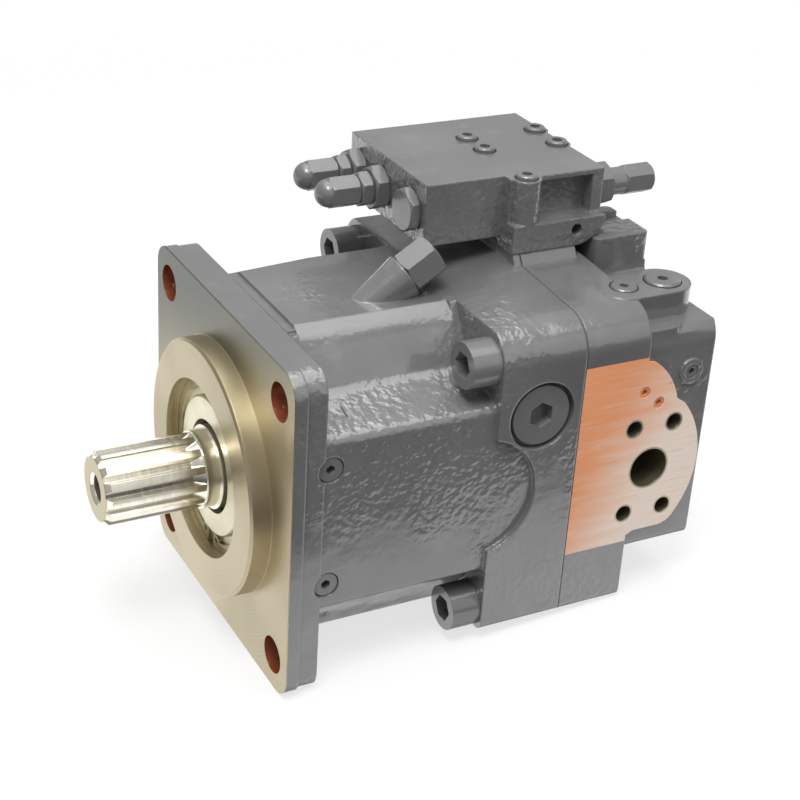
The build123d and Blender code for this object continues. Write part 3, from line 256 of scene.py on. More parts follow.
def paint_layers(graph, roughcast, edge, walls=0.0):
    """Colour, roughness, normal and gloss of the grey paint, on a cast or a turned surface. The walls
    can be given a coarser skin, and the paint is dull on an underside, where it is also painted a lighter
    grey: painted light standing in for light bounced up from the floor."""
    cloud = graph.noise(12.0, 3.0)
    tone = graph.mixed(graph.between(cloud, 0.36, 0.66), paint_dark, paint_grey)
    tone = graph.mixed(graph.between(graph.noise(48.0), 0.58, 0.8, 0.0, 0.6), tone, paint_light)
    fine = graph.noise(420.0, 2.0)
    rough = graph.between(graph.noise(90.0), 0.3, 0.75, 0.30, 0.42)
    normal = graph.rounded(edge)
    if roughcast > 0:
        # Casting skin under the paint, coarse in patches and nearly smooth between them
        patches = graph.between(graph.noise(13.0, 2.0), 0.46, 0.62, 0.12, 1.0)
        on_walls = graph.between(graph.maths("ABSOLUTE", graph.facing()[2]), 0.4, 0.6, walls, 0.0)
        patches = graph.maths("MAXIMUM", patches, on_walls)
        pebbles = graph.product(graph.noise(230.0, 1.0), patches)
        normal = graph.bump(graph.noise(42.0, 1.5), 0.0020 * roughcast, 0.30, normal)
        normal = graph.bump(pebbles, 0.0016 * roughcast, 0.55, normal)
    normal = graph.bump(fine, 0.00022, 0.30, normal)
    # Downward faces lose gloss and are painted a lighter grey, painted light standing in for light bounced up
    # from the floor
    gloss = graph.between(graph.facing()[2], -0.5, -0.15, 0.15, 1.0)
    tone = graph.mixed(graph.maths("SUBTRACT", 1.0, gloss), tone, underside_painted_light)
    return tone, rough, normal, gloss


def painted(name, roughcast=0.0, edge=0.0006, weight=coat_weight, walls=0.0):
    """Grey paint alone."""
    graph = Graph(name)
    tone, rough, normal, gloss = paint_layers(graph, roughcast, edge, walls)
    return graph.finish(
        Base_Color=tone, Roughness=rough, Normal=normal, Coat_Normal=normal,
        Specular_IOR_Level=graph.product(gloss, 0.5), Coat_Weight=graph.product(gloss, weight), **coat)


def housing_paint():
    """Grey paint with the flange's turned front face and the brown bolt holes left out of it."""
    graph = Graph("housing_paint")
    tone, rough, normal, gloss = paint_layers(graph, 1.0, 0.0016)
    x, y, z = graph.split(graph.place)
    radius = graph.radius_about_shaft()
    spread = graph.product(graph.noise(120.0), 0.0008)
    front = graph.between(graph.maths("ADD", x, spread), 0.0006, 0.0014, 1.0, 0.0)
    inside = graph.product(
        graph.between(radius, recess_radius, recess_radius + 0.0002, 1.0, 0.0),
        graph.between(x, flange_back_x - 0.001, flange_back_x + 0.001, 1.0, 0.0))
    bare = graph.maths("MAXIMUM", front, inside)
    # Turning marks run round the shaft axis
    rings = graph.noise(1.0, 6.0, 0.7, graph.joined(graph.product(radius, 900.0), 0.0, 0.0))
    metal = graph.mixed(graph.between(graph.noise(9.0, 2.0), 0.35, 0.65), champagne_dark, champagne)
    metal = graph.mixed(graph.between(rings, 0.35, 0.75, 0.0, 0.35), metal, champagne_glint)
    # The flange's plate is a colder, darker grey towards its top: a painted reflection of darker surroundings
    plate = graph.between(radius, spigot_radius + 0.0002, spigot_radius + 0.0006)
    painted_reflection_share = graph.between(graph.maths("ADD", z, graph.product(y, 0.35)), 0.0, 0.115)
    metal = graph.mixed(graph.product(painted_reflection_share, plate, 0.9), metal, painted_reflection_grey)
    # Bolt holes
    from_bolt = graph.length(graph.joined(
        0.0, graph.maths("SUBTRACT", graph.maths("ABSOLUTE", y), bolt_half_pitch),
        graph.maths("SUBTRACT", graph.maths("ABSOLUTE", z), bolt_half_pitch)))
    hole = graph.product(
        graph.between(from_bolt, bolt_hole_radius + 0.00005, bolt_hole_radius + 0.0002, 1.0, 0.0),
        graph.between(x, flange_back_x + 0.001, flange_back_x + 0.002, 1.0, 0.0))
    rust = graph.mixed(graph.noise(300.0), rust_brown, rust_light)
    colour = graph.mixed(hole, graph.mixed(bare, tone, metal), rust)
    bare_only = graph.maths("SUBTRACT", bare, hole, clamp=True)
    turned_rough = graph.between(rings, 0.3, 0.8, 0.30, 0.46)
    roughness = graph.maths("MAXIMUM", graph.blended(bare, rough, turned_rough), graph.product(hole, 0.7))
    direction = graph.either(bare, normal, graph.bump(rings, 0.0002, 0.4, graph.rounded(0.0008)))
    return graph.finish(
        Base_Color=colour, Metallic=graph.product(bare_only, 0.85), Roughness=roughness, Normal=direction,
        Coat_Normal=direction, Specular_IOR_Level=graph.product(gloss, 0.5),
        Coat_Weight=graph.product(graph.maths("SUBTRACT", gloss, bare, clamp=True), coat_weight), **coat)


def port_plate_paint():
    """Grey paint with the primed face round the pressure port."""
    graph = Graph("port_plate_paint")
    tone, rough, normal, gloss = paint_layers(graph, 1.0, 0.0016)
    x, y, z = graph.split(graph.place)
    face = graph.between(y, port_face_y + 0.00035, port_face_y + 0.00055, 1.0, 0.0)
    outside = graph.maths(
        "MAXIMUM", graph.between(z, primed_top_z, primed_top_z + 0.0003),
        graph.between(z, primed_bottom_z, primed_bottom_z + 0.0003, 1.0, 0.0))
    face = graph.maths("SUBTRACT", face, outside, clamp=True)
    # Primer is thick at the joint and wiped thin round the port, in strokes along the shaft line
    streaks = graph.noise(1.0, 4.0, 0.6, graph.stretched((26.0, 1.0, 620.0)))
    wide = graph.noise(1.0, 2.0, 0.5, graph.stretched((14.0, 1.0, 110.0)))
    slant = graph.maths("ADD", x, graph.product(graph.maths("SUBTRACT", wide, 0.5), 0.05))
    slant = graph.maths("ADD", slant, graph.product(z, -0.5))
    primer = graph.mixed(graph.between(slant, 0.170, 0.245), primer_orange, primer_pale)
    primer = graph.mixed(graph.between(streaks, 0.48, 0.70, 0.0, 0.40), primer, primer_wiped)
    primer = graph.mixed(graph.between(streaks, 0.28, 0.40, 0.25, 0.0), primer, primer_deep)
    # Bare rims and bores of the port and of its screw holes
    holes = [(port_x, port_z, metres("pressure_port", "r_mm"))]
    holes += [(port_x + side * port_screw_pitch_x, port_z + level * port_screw_pitch_z,
               metres("pressure_port_bolts", "hole_r_mm")) for side in (-1, 1) for level in (-1, 1)]
    rim = 0.0
    bore = 0.0
    for hole_x, hole_z, hole_radius in holes:
        away = graph.length(graph.joined(
            graph.maths("SUBTRACT", x, hole_x), 0.0, graph.maths("SUBTRACT", z, hole_z)))
        rim_here = graph.between(away, hole_radius + 0.0010, hole_radius + 0.0013, 1.0, 0.0)
        bore_here = graph.between(away, hole_radius + 0.0001, hole_radius + 0.0003, 1.0, 0.0)
        rim = graph.maths("MAXIMUM", rim, rim_here)
        bore = graph.maths("MAXIMUM", bore, bore_here)
    rim = graph.product(rim, graph.between(y, port_face_y + 0.0015, port_face_y + 0.002, 1.0, 0.0))
    bore = graph.product(bore, graph.between(y, port_face_y + 0.08, port_face_y + 0.081, 1.0, 0.0))
    unpainted = graph.maths("MAXIMUM", face, graph.maths("MAXIMUM", rim, bore))
    threads = graph.noise(1.0, 2.0, 0.5, graph.stretched((20.0, 700.0, 20.0)))
    colour = graph.mixed(rim, graph.mixed(face, tone, primer), bare_iron)
    colour = graph.mixed(bore, colour, graph.mixed(threads, bore_dark, bore_light))
    direction = graph.either(face, normal, graph.bump(streaks, 0.0002, 0.3, graph.rounded(0.0008)))
    return graph.finish(
        Base_Color=colour, Metallic=graph.product(graph.maths("MAXIMUM", rim, bore), 0.8),
        Roughness=graph.blended(unpainted, rough, 0.42), Normal=direction, Coat_Normal=direction,
        Specular_IOR_Level=graph.product(gloss, 0.5),
        Coat_Weight=graph.product(graph.maths("SUBTRACT", gloss, unpainted, clamp=True), coat_weight), **coat)


# ---------------------------------------------------------------- metals, rubber and fibre
def turned_metal(name, light, dark, rough, metallic=1.0):
    """Metal with turning marks round the shaft line."""
    graph = Graph(name)
    x = graph.split(graph.place)[0]
    marks = graph.joined(graph.product(graph.radius_about_shaft(), 1200.0), graph.product(x, 1200.0), 0.0)
    lines = graph.noise(1.0, 5.0, 0.7, marks)
    colour = graph.mixed(graph.between(graph.noise(30.0), 0.35, 0.65), dark, light)
    return graph.finish(
        Base_Color=colour, Metallic=metallic,
        Roughness=graph.between(lines, 0.3, 0.75, rough - 0.07, rough + 0.08),
        Normal=graph.bump(lines, 0.0002, 0.3, graph.rounded(0.0005)))


def shaft_metal():
    """Ground shaft with faint rings from the lathe, and a duller sawn end."""
    graph = Graph("shaft_steel")
    x = graph.split(graph.place)[0]
    rings = graph.noise(1.0, 2.0, 0.5, graph.joined(graph.product(x, 420.0), 0.0, 0.0))
    clouds = graph.between(graph.noise(30.0), 0.35, 0.65)
    colour = graph.mixed(clouds, linear(222, 217, 202), linear(240, 236, 222))
    end = graph.between(x, shaft_end_x + 0.0002, shaft_end_x + 0.0006, 1.0, 0.0)
    rough = graph.maths("ADD", graph.between(rings, 0.3, 0.75, 0.16, 0.28), graph.product(end, 0.2))
    return graph.finish(
        Base_Color=graph.mixed(end, colour, linear(186, 176, 146)), Metallic=0.95, Roughness=rough,
        Normal=graph.bump(rings, 0.0001, 0.15, graph.rounded(0.0005)))


def soft_black(name, tone, rough, grain):
    """Rubber or fibre with a fine grain."""
    graph = Graph(name)
    speckle = graph.noise(grain, 4.0)
    colour = graph.mixed(speckle, tone, tuple(min(1.0, value * 1.8) for value in tone[:3]) + (1.0,))
    return graph.finish(Base_Color=colour, Roughness=rough, Normal=graph.bump(speckle, 0.0001, 0.4))


# ---------------------------------------------------------------- forms the CAD solids lack
# Sizes in this part are in millimetres.
def closed(maker):
    """A mesh from a bmesh, with its faces turned outwards."""
    bmesh.ops.recalc_face_normals(maker, faces=maker.faces)
    mesh = bpy.data.meshes.new("solid")
    maker.to_mesh(mesh)
    maker.free()
    return mesh


def prism(across, outline, low, high):
    """Solid between two places along an axis, from an outline in the other two."""
    orders = {"X": lambda a, b, c: (c, a, b), "Y": lambda a, b, c: (a, c, b), "Z": lambda a, b, c: (a, b, c)}
    order = orders[across]
    maker = bmesh.new()
    face = maker.faces.new([maker.verts.new(Vector(order(a, b, low)) / 1000) for a, b in outline])
    grown = bmesh.ops.extrude_face_region(maker, geom=[face])["geom"]
    moved = [item for item in grown if isinstance(item, bmesh.types.BMVert)]
    bmesh.ops.translate(maker, verts=moved, vec=Vector(order(0, 0, high - low)) / 1000)
    return closed(maker)


def lathed(foot, direction, stations, sides=64, turn=0.0):
    """Solid turned about a line from (distance, radius) stations. Six sides give a hexagon."""
    along = Vector(direction).normalized()
    aside = along.orthogonal().normalized()
    maker = bmesh.new()
    rings = []
    for distance, radius in stations:
        centre = Vector(foot) + along * distance
        spokes = [Matrix.Rotation(turn + tau * i / sides, 3, along) @ aside for i in range(sides)]
        rings.append([maker.verts.new((centre + spoke * radius) / 1000) for spoke in spokes])
    for lower, upper in zip(rings, rings[1:]):
        for i in range(sides):
            maker.faces.new((lower[i], lower[i - 1], upper[i - 1], upper[i]))
    maker.faces.new(rings[0])
    maker.faces.new(rings[-1])
    return closed(maker)


def upright(place, low, high, radius):
    """Cylinder that stands on a place seen from above."""
    return lathed((*place, 0), (0, 0, 1), [(low, radius), (high, radius)])


def hexagonal(foot, direction, start, end, across_flats, turn=0.0):
    """Hexagonal bar along a line."""
    corner = across_flats / sqrt(3)
    return lathed(foot, direction, [(start, corner), (end, corner)], 6, turn)


def arc(centre_a, centre_b, radius, start, end, steps):
    """Points on a round stretch of an outline, between two angles in degrees."""
    angles = [radians(start + (end - start) * i / steps) for i in range(steps + 1)]
    return [(centre_a + radius * cos(angle), centre_b + radius * sin(angle)) for angle in angles]


def rectangle(low_a, high_a, low_b, high_b):
    """Outline between two limits along each axis."""
    return [(low_a, low_b), (high_a, low_b), (high_a, high_b), (low_a, high_b)]


def round_ended(start_x, end_x, middle_y, radius):
    """Outline with two straight sides and round ends, seen from above."""
    return arc(start_x, middle_y, radius, 90, 270, 24) + arc(end_x, middle_y, radius, -90, 90, 24)


def mirrored(side, middle=0):
    """Outline that is the same on both sides of a middle line, from the points on one side."""
    return [(middle - a, b) for a, b in side] + [(middle + a, b) for a, b in reversed(side)]


def node_mesh(name):
    """A copy of a CAD node's mesh, joined along its edges."""
    maker = bmesh.new()
    maker.from_mesh(nodes[name].data)
    bmesh.ops.remove_doubles(maker, verts=maker.verts, dist=0.000002)
    return closed(maker)


def joined_up(meshes):
    """One mesh from several."""
    maker = bmesh.new()
    for mesh in meshes:
        maker.from_mesh(mesh)
    return closed(maker)


def shaped(mesh, steps):
    """A mesh with solids joined to it, cut from it or crossed with it, in turn."""
    piece = bpy.data.objects.new("blank", mesh)
    bpy.context.scene.collection.objects.link(piece)
    for operation, solid in steps:
        tool = bpy.data.objects.new("tool", solid)
        bpy.context.scene.collection.objects.link(tool)
        change = piece.modifiers.new("change", "BOOLEAN")
        change.operation = operation
        change.solver = "EXACT"
        change.object = tool
        result = bpy.data.meshes.new_from_object(piece.evaluated_get(bpy.context.evaluated_depsgraph_get()))
        piece.modifiers.clear()
        piece.data = result
        bpy.data.objects.remove(tool)
    bpy.data.objects.remove(piece)
    return result


def stand_for(node, name, mesh, material):
    """A piece on the casing that replaces a CAD node."""
    mesh.materials.clear()
    mesh.materials.append(material)
    if mesh.has_custom_normals:
        mesh.attributes.remove(mesh.attributes["custom_normal"])
    mesh.polygons.foreach_set("use_smooth", [True] * len(mesh.polygons))
    mesh.set_sharp_from_angle(angle=radians(28))
    piece = bpy.data.objects.new(name, mesh)
    bpy.context.scene.collection.objects.link(piece)
    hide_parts(node)
    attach(piece, "casing")


hair = 0.01                             # by which a cut runs past a face, so that the two never coincide
above_all_z = 135.0                     # clear of both castings
joint_front_x, joint_back_x = 178.7, 179.3      # the gasket's two sides
# Housing
flange_rim_z = 101.5
flange_band_x, flange_rear_x = 8.0, 20.0        # the machined band of the flange's edge, and its back
groove_floor_z = 100.2
groove_end_x = 24.5
barrel_front_x, barrel_back_x = 26.5, 118.0
barrel_top_z = 102.0
rear_block_top_z = 110.0
vent_face = (103.4, -19.4, 112.0)       # middle of the inclined boss's end
vent_angle = radians(32)
vent_way = (cos(vent_angle), 0, sin(vent_angle))
vent_across_flats = 23.0
vent_corner = vent_across_flats / sqrt(3)
# Seat of the valve block on both castings
seat_z = 115.0
seat_middle_y = 31.5
seat_half_width = 51.5
seat_foot_half_width, seat_foot_z = 58.5, 104.0
# Valve block
block_left_x, block_right_x = 122.0, 237.5
block_far_y, block_near_y = 91.0, -6.0
pocket_wall_y, foot_near_y = -13.0, -21.0
block_top_z, block_underside_z = 158.5, 121.0
step_x, climb_x, turret_seat_x = 173.0, 218.0, 223.5    # where the underside steps down and climbs again
spool_z = 138.5
power_y, pressure_y, flow_y = 11.0, 49.0, 79.0
foot_screw = (183.9, -12.3)
right_screws = [(232.5, 59.0), (232.5, 33.0)]
left_screws = [(184.0, 58.5), (184.0, 37.0)]
block_screws = left_screws + right_screws + [foot_screw]
screw_seat_z = 153.0
# Port plate
plate_back_x = 222.0                    # where the high front part ends
plate_top_z = 108.8
plate_top_radius = 22.0
rear_top_z = 90.5
turret_top_z = 118.4
turret_root_z = 78.5
notch_floor_z = 115.4
plug_boss_y, plug_boss_radius, plug_boss_top_z = -65.5, 17.0, 106.0
small_plug, large_plug = (223.0, plug_boss_y), (250.0, plug_boss_y)
plug_seat_z = 104.0

seat_outline = mirrored(
    [(seat_foot_half_width, 100), (seat_foot_half_width, seat_foot_z), (seat_half_width, seat_z - 2 * hair)],
    seat_middle_y)


def housing_form():
    """Level barrel top with a groove behind the flange, and a short inclined boss on it."""
    above = [
        (flange_band_x, flange_rim_z - hair), (flange_rear_x, flange_rim_z - hair),
        (flange_rear_x, groove_floor_z), (groove_end_x, groove_floor_z), (barrel_front_x, barrel_top_z),
        (barrel_back_x, barrel_top_z), (joint_front_x + hair, rear_block_top_z),
        (joint_front_x + hair, above_all_z), (flange_band_x, above_all_z)]
    # Near side of the top, down to the screw hollow
    beside = [(-37.9, 102), (-45.6, 97.2), (-52, 86.6), (-62, 86.6), (-62, 130), (-37.9, 130)]
    slab = mirrored([(45.4, 90), (45.4, 97.06), (38, barrel_top_z)])
    neck = mirrored([(40.7, 90), (40.7, groove_floor_z)])
    return shaped(node_mesh("pump_housing"), [
        ("DIFFERENCE", prism("Y", above, -105, 105)),
        ("DIFFERENCE", prism("X", beside, barrel_front_x, 121)),
        ("UNION", prism("X", slab, barrel_front_x, barrel_back_x)),
        ("UNION", prism("X", neck, flange_rear_x - 0.5, barrel_front_x + 0.1)),
        ("UNION", lathed(vent_face, vent_way, [(-36, 8), (0, 13.4)])),
        ("DIFFERENCE", lathed(vent_face, vent_way, [(hair, 16), (30, 16)])),
        ("UNION", prism("X", seat_outline, 174, joint_front_x - hair))])


def port_plate_form():
    """Lower rear top with the turret, its seat behind it and the boss of two plugs."""
    round_edge = arc(-78, 83.28, plate_top_radius, 94, 178, 14)
    above = [(-20, plate_top_z)] + round_edge + [(-105, 83.28), (-105, 130), (-20, 130)]
    turret = [(232, -25), (264, -25), (266.1, -24.1), (267, -22), (267, 17), (266.1, 19.1),
              (264, 20), (232, 20), (229.9, 19.1), (229, 17), (229, -22), (229.9, -24.1)]
    turret_foot = [(-24, 89.5), (-30, 89.5), (-30, rear_top_z), (-27.8, 91.4), (-26.3, 93.4), (-25.3, 96.6),
                   (-25, 100.5), (-24, 100.5)]
    return shaped(node_mesh("port_plate"), [
        # The solid's own plug seats are filled before its top is lowered
        ("UNION", upright((213, -80), 88, 113.4, 10)),
        ("UNION", upright((238, -80), 80, 113.4, 12.5)),
        ("DIFFERENCE", prism("X", above, 190, plate_back_x + hair)),
        ("DIFFERENCE", prism("Z", rectangle(plate_back_x + hair, 275, -106, 106), rear_top_z, 130)),
        ("UNION", prism("Z", turret, turret_root_z, turret_top_z)),
        ("UNION", prism("Z", rectangle(224, 243, 0, 70), turret_root_z, turret_top_z)),
        ("UNION", prism("X", turret_foot, 229.5, 266.5)),
        ("DIFFERENCE", prism("Z", rectangle(239, 268, -2.5, 10.5), notch_floor_z, 120)),
        ("UNION", prism("Z", round_ended(small_plug[0], large_plug[0], plug_boss_y, plug_boss_radius),
                        76.5, plug_boss_top_z)),
        ("DIFFERENCE", upright(small_plug, plug_seat_z, 108, 8.6)),
        ("DIFFERENCE", upright(large_plug, plug_seat_z, 108, 11.5)),
        ("UNION", prism("X", seat_outline, joint_back_x + hair, 217))])


def control_block_form():
    """Block with the open pocket, the foot in front of it and the bosses of its screws."""
    over_turret_z = turret_top_z + 2 * hair
    right_part = [(step_x, block_top_z), (step_x, seat_z), (climb_x, seat_z), (turret_seat_x, over_turret_z),
                  (block_right_x - 0.1, over_turret_z), (block_right_x - 0.1, block_top_z)]
    whole = [(block_left_x, block_top_z), (block_left_x, block_underside_z), (step_x, block_underside_z)]
    whole += [(step_x, seat_z), (climb_x, seat_z), (turret_seat_x, over_turret_z)]
    whole += [(block_right_x, over_turret_z), (block_right_x, block_top_z)]
    foot = [(step_x, seat_z), (climb_x, seat_z), (222.5, 115.8), (227, 117.9), (231, 121.1), (234.2, 124.6),
            (block_right_x - 1, 128.4), (block_right_x - 1, 132), (step_x, 132)]
    steps = [
        ("UNION", prism("Y", right_part, pocket_wall_y, block_near_y + 1)),
        ("UNION", prism("Y", foot, foot_near_y, pocket_wall_y + 1)),
        ("UNION", upright(foot_screw, seat_z, block_top_z, 9))]
    steps += [("UNION", upright(place, over_turret_z, block_top_z, 8.5)) for place in right_screws]
    steps += [
        ("DIFFERENCE", prism("Y", rectangle(193, 230, 132, 155.5), foot_near_y - 1, block_near_y + 3)),
        ("DIFFERENCE", lathed((216.8, 0, 125.1), (0, 1, 0), [(foot_near_y - 1, 3.5), (6, 3.5)])),
        ("DIFFERENCE", lathed((block_left_x, power_y, spool_z), (1, 0, 0), [(-1, 16), (0.05, 16)]))]
    steps += [("DIFFERENCE", upright(place, screw_seat_z, block_top_z + 0.5, 7.1)) for place in block_screws]
    return shaped(prism("Y", whole, block_near_y, block_far_y), steps)


def screw_head(place, low, high, radius, bevel, socket):
    """Round screw head that points up, with a hexagon socket."""
    head = lathed((*place, 0), (0, 0, 1), [(low, radius), (high - bevel, radius), (high, radius - bevel)])
    return shaped(head, [
        ("DIFFERENCE", hexagonal((*place, 0), (0, 0, 1), high - 3.5, high + 1, socket, 0.4))])


def vent_plug_form():
    """Hexagon plug on the inclined boss, with the corners of both ends turned away."""
    bar = hexagonal(vent_face, vent_way, 0.02, 21.5, vent_across_flats, radians(30))
    stations = [(0, 10.8), (1.4, vent_corner), (20.1, vent_corner), (21.6, 10.8)]
    return shaped(bar, [("INTERSECT", lathed(vent_face, vent_way, stations))])


def turned_ends(name, places, direction, start, end, across_flats):
    """A hexagonal CAD node with the corners at its two ends turned away."""
    corner, face = across_flats / sqrt(3) + 0.02, 0.485 * across_flats
    slope = 1.6
    stations = [(-13, face), (start, face), (start + slope, corner), (end - slope, corner), (end, face),
                (end + 14, face)]
    return shaped(node_mesh(name), [
        ("INTERSECT", joined_up([lathed(place, direction, stations) for place in places]))])


def carrier_form():
    """Seal carrier with a raised hub round the shaft."""
    hub = shaped(lathed((0, 0, 0), (1, 0, 0), [(-6.5, 41), (-5.5, 42), (-1, 42)]), [
        ("DIFFERENCE", lathed((0, 0, 0), (1, 0, 0), [(-8, 28), (0, 28)]))])
    return shaped(node_mesh("seal_carrier"), [("UNION", hub)])


# ---------------------------------------------------------------- castings, screws and fittings
# Sizes of forms are in millimetres here too, and those of paints are in metres.
stand_for("pump_housing", "housing_casting", housing_form(), housing_paint())
stand_for("port_plate", "port_plate_casting", port_plate_form(), port_plate_paint())
stand_for("control_block", "control_block_casting", control_block_form(),
          painted("control_block_paint", 1.2, 0.0016, coat_weight, 0.95))

steel_paint = painted("steel_paint", 0.0, 0.0006, 0.5)
dress(steel_paint, "main_cap_screws", "drain_plugs", "housing_gauge_plugs", "rear_side_plug")
stand_for("control_block_screws", "control_screws", joined_up(
    [screw_head(place, screw_seat_z + 0.02, 161, 6.5, 0.8, 6) for place in block_screws]), steel_paint)
stand_for("small_boss_plug", "small_plug",
          screw_head(small_plug, plug_seat_z + 0.02, 107, 8, 0.8, 5), steel_paint)
stand_for("large_boss_plug", "large_plug",
          screw_head(large_plug, plug_seat_z + 0.02, 107.5, 10.9, 1, 6), steel_paint)

fitting_paint = painted("fitting_paint", 0.12, 0.0008, 0.5)
stand_for("vent_plug", "vent_hexagon", vent_plug_form(), fitting_paint)
left, right = (-1, 0, 0), (1, 0, 0)
power_seats = [(block_left_x, power_y, spool_z)]
left_seats = [(block_left_x, pressure_y, spool_z), (block_left_x, flow_y, spool_z)]
right_seats = [(block_right_x, power_y, spool_z)]
for node, name, places, direction, start, end, across_flats in (
        ("control_end_plug", "end_plug", power_seats, left, 0, 6.5, 24),
        ("adjuster_bodies", "adjuster_hexagons", left_seats, left, 0, 9, 24),
        ("adjuster_lock_nuts", "lock_nuts", left_seats, left, 9.02, 17.02, 19),
        ("adjuster_caps", "domed_caps", left_seats, left, 17.04, 36.04, 17),
        ("power_adjuster_body", "power_hexagon", right_seats, right, 0, 18, 24),
        ("power_adjuster_cap", "power_cap", right_seats, right, 29.52, 49.52, 17)):
    stand_for(node, name, turned_ends(node, places, direction, start, end, across_flats), fitting_paint)

dress(turned_metal("primed_plug", primer_orange, linear(190, 110, 70), 0.45, metallic=0.2), "port_face_plugs")

# ---------------------------------------------------------------- shaft, seal and inner parts
dress(shaft_metal(), "drive_shaft")
stand_for("seal_carrier", "carrier", carrier_form(),
          turned_metal("carrier_iron", linear(238, 232, 208), linear(214, 206, 178), 0.36, metallic=0.75))
dress(turned_metal("circlip_steel", linear(200, 192, 168), linear(150, 140, 112), 0.32), "seal_circlip")
dress(soft_black("seal_rubber", linear(52, 42, 34), 0.55, 900.0), "shaft_seal")
dress(soft_black("gasket_fibre", linear(60, 60, 60), 0.8, 500.0), "joint_gasket")
dress(turned_metal("bearing_steel", linear(215, 214, 208), linear(186, 185, 180), 0.16),
      "front_bearing_outer_race", "front_bearing_inner_race", "front_bearing_rollers",
      "rear_bearing_outer_race", "rear_bearing_inner_race", "rear_bearing_rollers",
      "cradle_races", "cradle_rollers")
dress(turned_metal("bronze", linear(190, 138, 70), linear(150, 100, 46), 0.34), "front_bearing_cage",
      "rear_bearing_cage", "cradle_cages", "slippers")
dress(turned_metal("ground_steel", linear(196, 194, 188), linear(160, 158, 152), 0.24),
      "valve_plate", "valve_plate_pin", "stroke_piston_sleeve", "counter_piston_sleeve", "joint_dowels",
      "pistons", "guide_ball", "retaining_plate", "stroke_piston", "counter_piston",
      "pressure_spool", "flow_spool", "power_spool",
      "pressure_adjusting_screw", "flow_adjusting_screw", "power_adjusting_screw")
dress(turned_metal("block_steel", linear(170, 168, 162), linear(132, 130, 126), 0.3), "cylinder_block")
dress(turned_metal("spring_steel", linear(110, 106, 100), linear(70, 68, 66), 0.35), "block_spring",
      "spring_washers", "counter_spring", "pressure_spring", "flow_spring", "power_spring")
dress(painted("swash_iron", 0.4, 0.001), "swashplate")


# ---------------------------------------------------------------- stage
heel_x = 0.222                          # rear edge of the body's underside
dark_near_y, dark_far_y = -0.185, -0.26
table_dark = linear(56, 56, 58)


def rest_plane():
    """Point, normal and level direction of the floor: the pump stands on the flange's lower edge and
    on the rear edge of the body's underside."""
    flange_foot = Vector((0.0, 0.0, flange_foot_z))
    heel = Vector((heel_x, 0.0, body_foot_z))
    along = (heel - flange_foot).normalized()
    normal = Vector((-along.z, 0.0, along.x))
    return flange_foot, normal, along


def floor_material():
    """Pale floor that shows as the white background to the camera, and still takes the shadow."""
    graph = Graph("floor")
    rays = graph.tree.nodes.new("ShaderNodeLightPath").outputs
    pale = graph.mixed(graph.noise(3.0), linear(246, 246, 246), linear(250, 250, 250))
    pale = graph.mixed(rays["Is Diffuse Ray"], pale, linear(140, 140, 140))
    graph.finish(Base_Color=pale, Roughness=0.9)
    # In reflections the table is bright under the pump and dark in front of it, as the gloss paint shows
    y = graph.split(graph.place)[1]
    in_front = graph.between(y, dark_far_y, dark_near_y, 1.0, 0.0)
    white = graph.tree.nodes.new("ShaderNodeEmission")
    tint = graph.mixed(graph.product(rays["Is Glossy Ray"], in_front), (1.0, 1.0, 1.0, 1.0), table_dark)
    graph.plug(tint, white.inputs["Color"])
    graph.plug(graph.maths("ADD", graph.product(rays["Is Glossy Ray"], 0.35), 1.0), white.inputs["Strength"])
    # The camera sees more of the white, and less of the shadow, away from the pump
    white_share = graph.between(graph.length(graph.place), 0.5, 1.2, 0.72, 1.0)
    seen = graph.maths("MAXIMUM", rays["Is Glossy Ray"], graph.product(rays["Is Camera Ray"], white_share))
    mix = graph.tree.nodes.new("ShaderNodeMixShader")
    graph.plug(seen, mix.inputs[0])
    graph.plug(graph.shader.outputs[0], mix.inputs[1])
    graph.plug(white.outputs[0], mix.inputs[2])
    graph.plug(mix.outputs[0], graph.output.inputs[0])
    return graph.material


def floor():
    """A large square under the pump, just below the plane that it stands on."""
    foot, normal, along = rest_plane()
    across = normal.cross(along)
    half = 6.0
    gap = 0.0002
    signs = ((-1, -1), (1, -1), (1, 1), (-1, 1))
    corners = [foot + (along * a + across * b) * half - normal * gap for a, b in signs]
    mesh = bpy.data.meshes.new("floor")
    mesh.from_pydata(corners, [], [(0, 1, 2, 3)])
    plane = bpy.data.objects.new("floor", mesh)
    bpy.context.scene.collection.objects.link(plane)
    mesh.materials.append(floor_material())


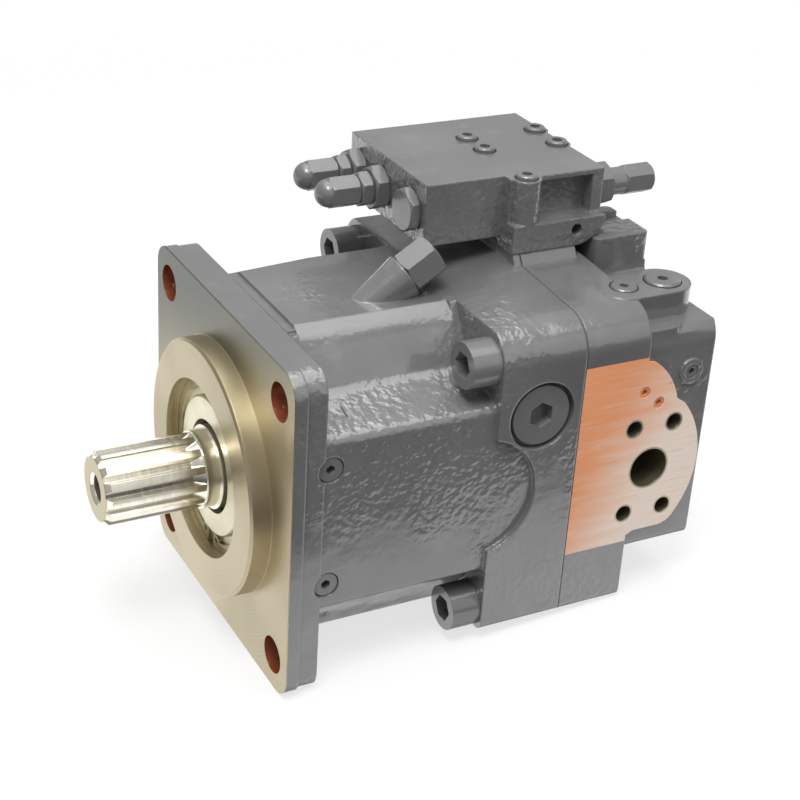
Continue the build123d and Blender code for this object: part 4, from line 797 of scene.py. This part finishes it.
def world():
    """White to the camera and through glass, a softer grey for lighting and reflections."""
    sky = bpy.data.worlds.new("studio")
    bpy.context.scene.world = sky
    sky.use_nodes = True
    tree = sky.node_tree
    tree.nodes.clear()
    rays = tree.nodes.new("ShaderNodeLightPath")
    seen = tree.nodes.new("ShaderNodeMath")
    seen.operation = "MAXIMUM"
    tree.links.new(rays.outputs["Is Camera Ray"], seen.inputs[0])
    tree.links.new(rays.outputs["Is Transmission Ray"], seen.inputs[1])
    mix = tree.nodes.new("ShaderNodeMixShader")
    tree.links.new(seen.outputs[0], mix.inputs[0])
    for strength, socket in ((0.42, mix.inputs[1]), (1.0, mix.inputs[2])):
        background = tree.nodes.new("ShaderNodeBackground")
        background.inputs["Color"].default_value = (1.0, 1.0, 1.0, 1.0)
        background.inputs["Strength"].default_value = strength
        tree.links.new(background.outputs[0], socket)
    output = tree.nodes.new("ShaderNodeOutputWorld")
    tree.links.new(mix.outputs[0], output.inputs[0])


def softbox(name, azimuth, elevation, distance, size, power):
    """A square area lamp aimed at the pump's middle from a direction round it."""
    middle = Vector((0.1, 0.0, 0.02))
    away = Vector((
        sin(radians(azimuth)) * cos(radians(elevation)),
        -cos(radians(azimuth)) * cos(radians(elevation)), sin(radians(elevation))))
    lamp = bpy.data.lights.new(name, "AREA")
    lamp.shape = "SQUARE"
    lamp.size = size
    lamp.energy = power
    holder = bpy.data.objects.new(name, lamp)
    holder.location = middle + away * distance
    holder.rotation_euler = away.to_track_quat("Z", "Y").to_euler()
    bpy.context.scene.collection.objects.link(holder)


def camera():
    """The photograph's view: turned to the shaft side, looking down, level with the floor."""
    azimuth, elevation, roll = radians(-29.108), radians(27.732), radians(3.754)
    place = (-0.33683, -0.81467, 0.51002)
    back = Vector((sin(azimuth) * cos(elevation), -cos(azimuth) * cos(elevation), sin(elevation)))
    right = (-back).cross(Vector((0, 0, 1))).normalized()
    up = right.cross(-back)
    leaned_right = cos(roll) * right + sin(roll) * up
    leaned_up = cos(roll) * up - sin(roll) * right
    lens = bpy.data.cameras.new("camera")
    lens.lens = 78.58
    lens.sensor_width = 36.0
    lens.clip_start = 0.01
    lens.clip_end = 50.0
    holder = bpy.data.objects.new("camera", lens)
    turn = Matrix((leaned_right, leaned_up, back)).transposed().to_4x4()
    holder.matrix_world = Matrix.Translation(place) @ turn
    bpy.context.scene.collection.objects.link(holder)
    bpy.context.scene.camera = holder


floor()
world()
softbox("key_light", -40.0, 64.0, 1.6, 0.6, 12.0)
softbox("top_light", 10.0, 82.0, 1.5, 1.6, 18.0)
softbox("fill_light", 30.0, 24.0, 1.8, 1.2, 2.3)
softbox("back_light", 178.0, 62.0, 1.8, 1.2, 6.0)
camera()
bpy.context.scene.view_settings.view_transform = "Standard"
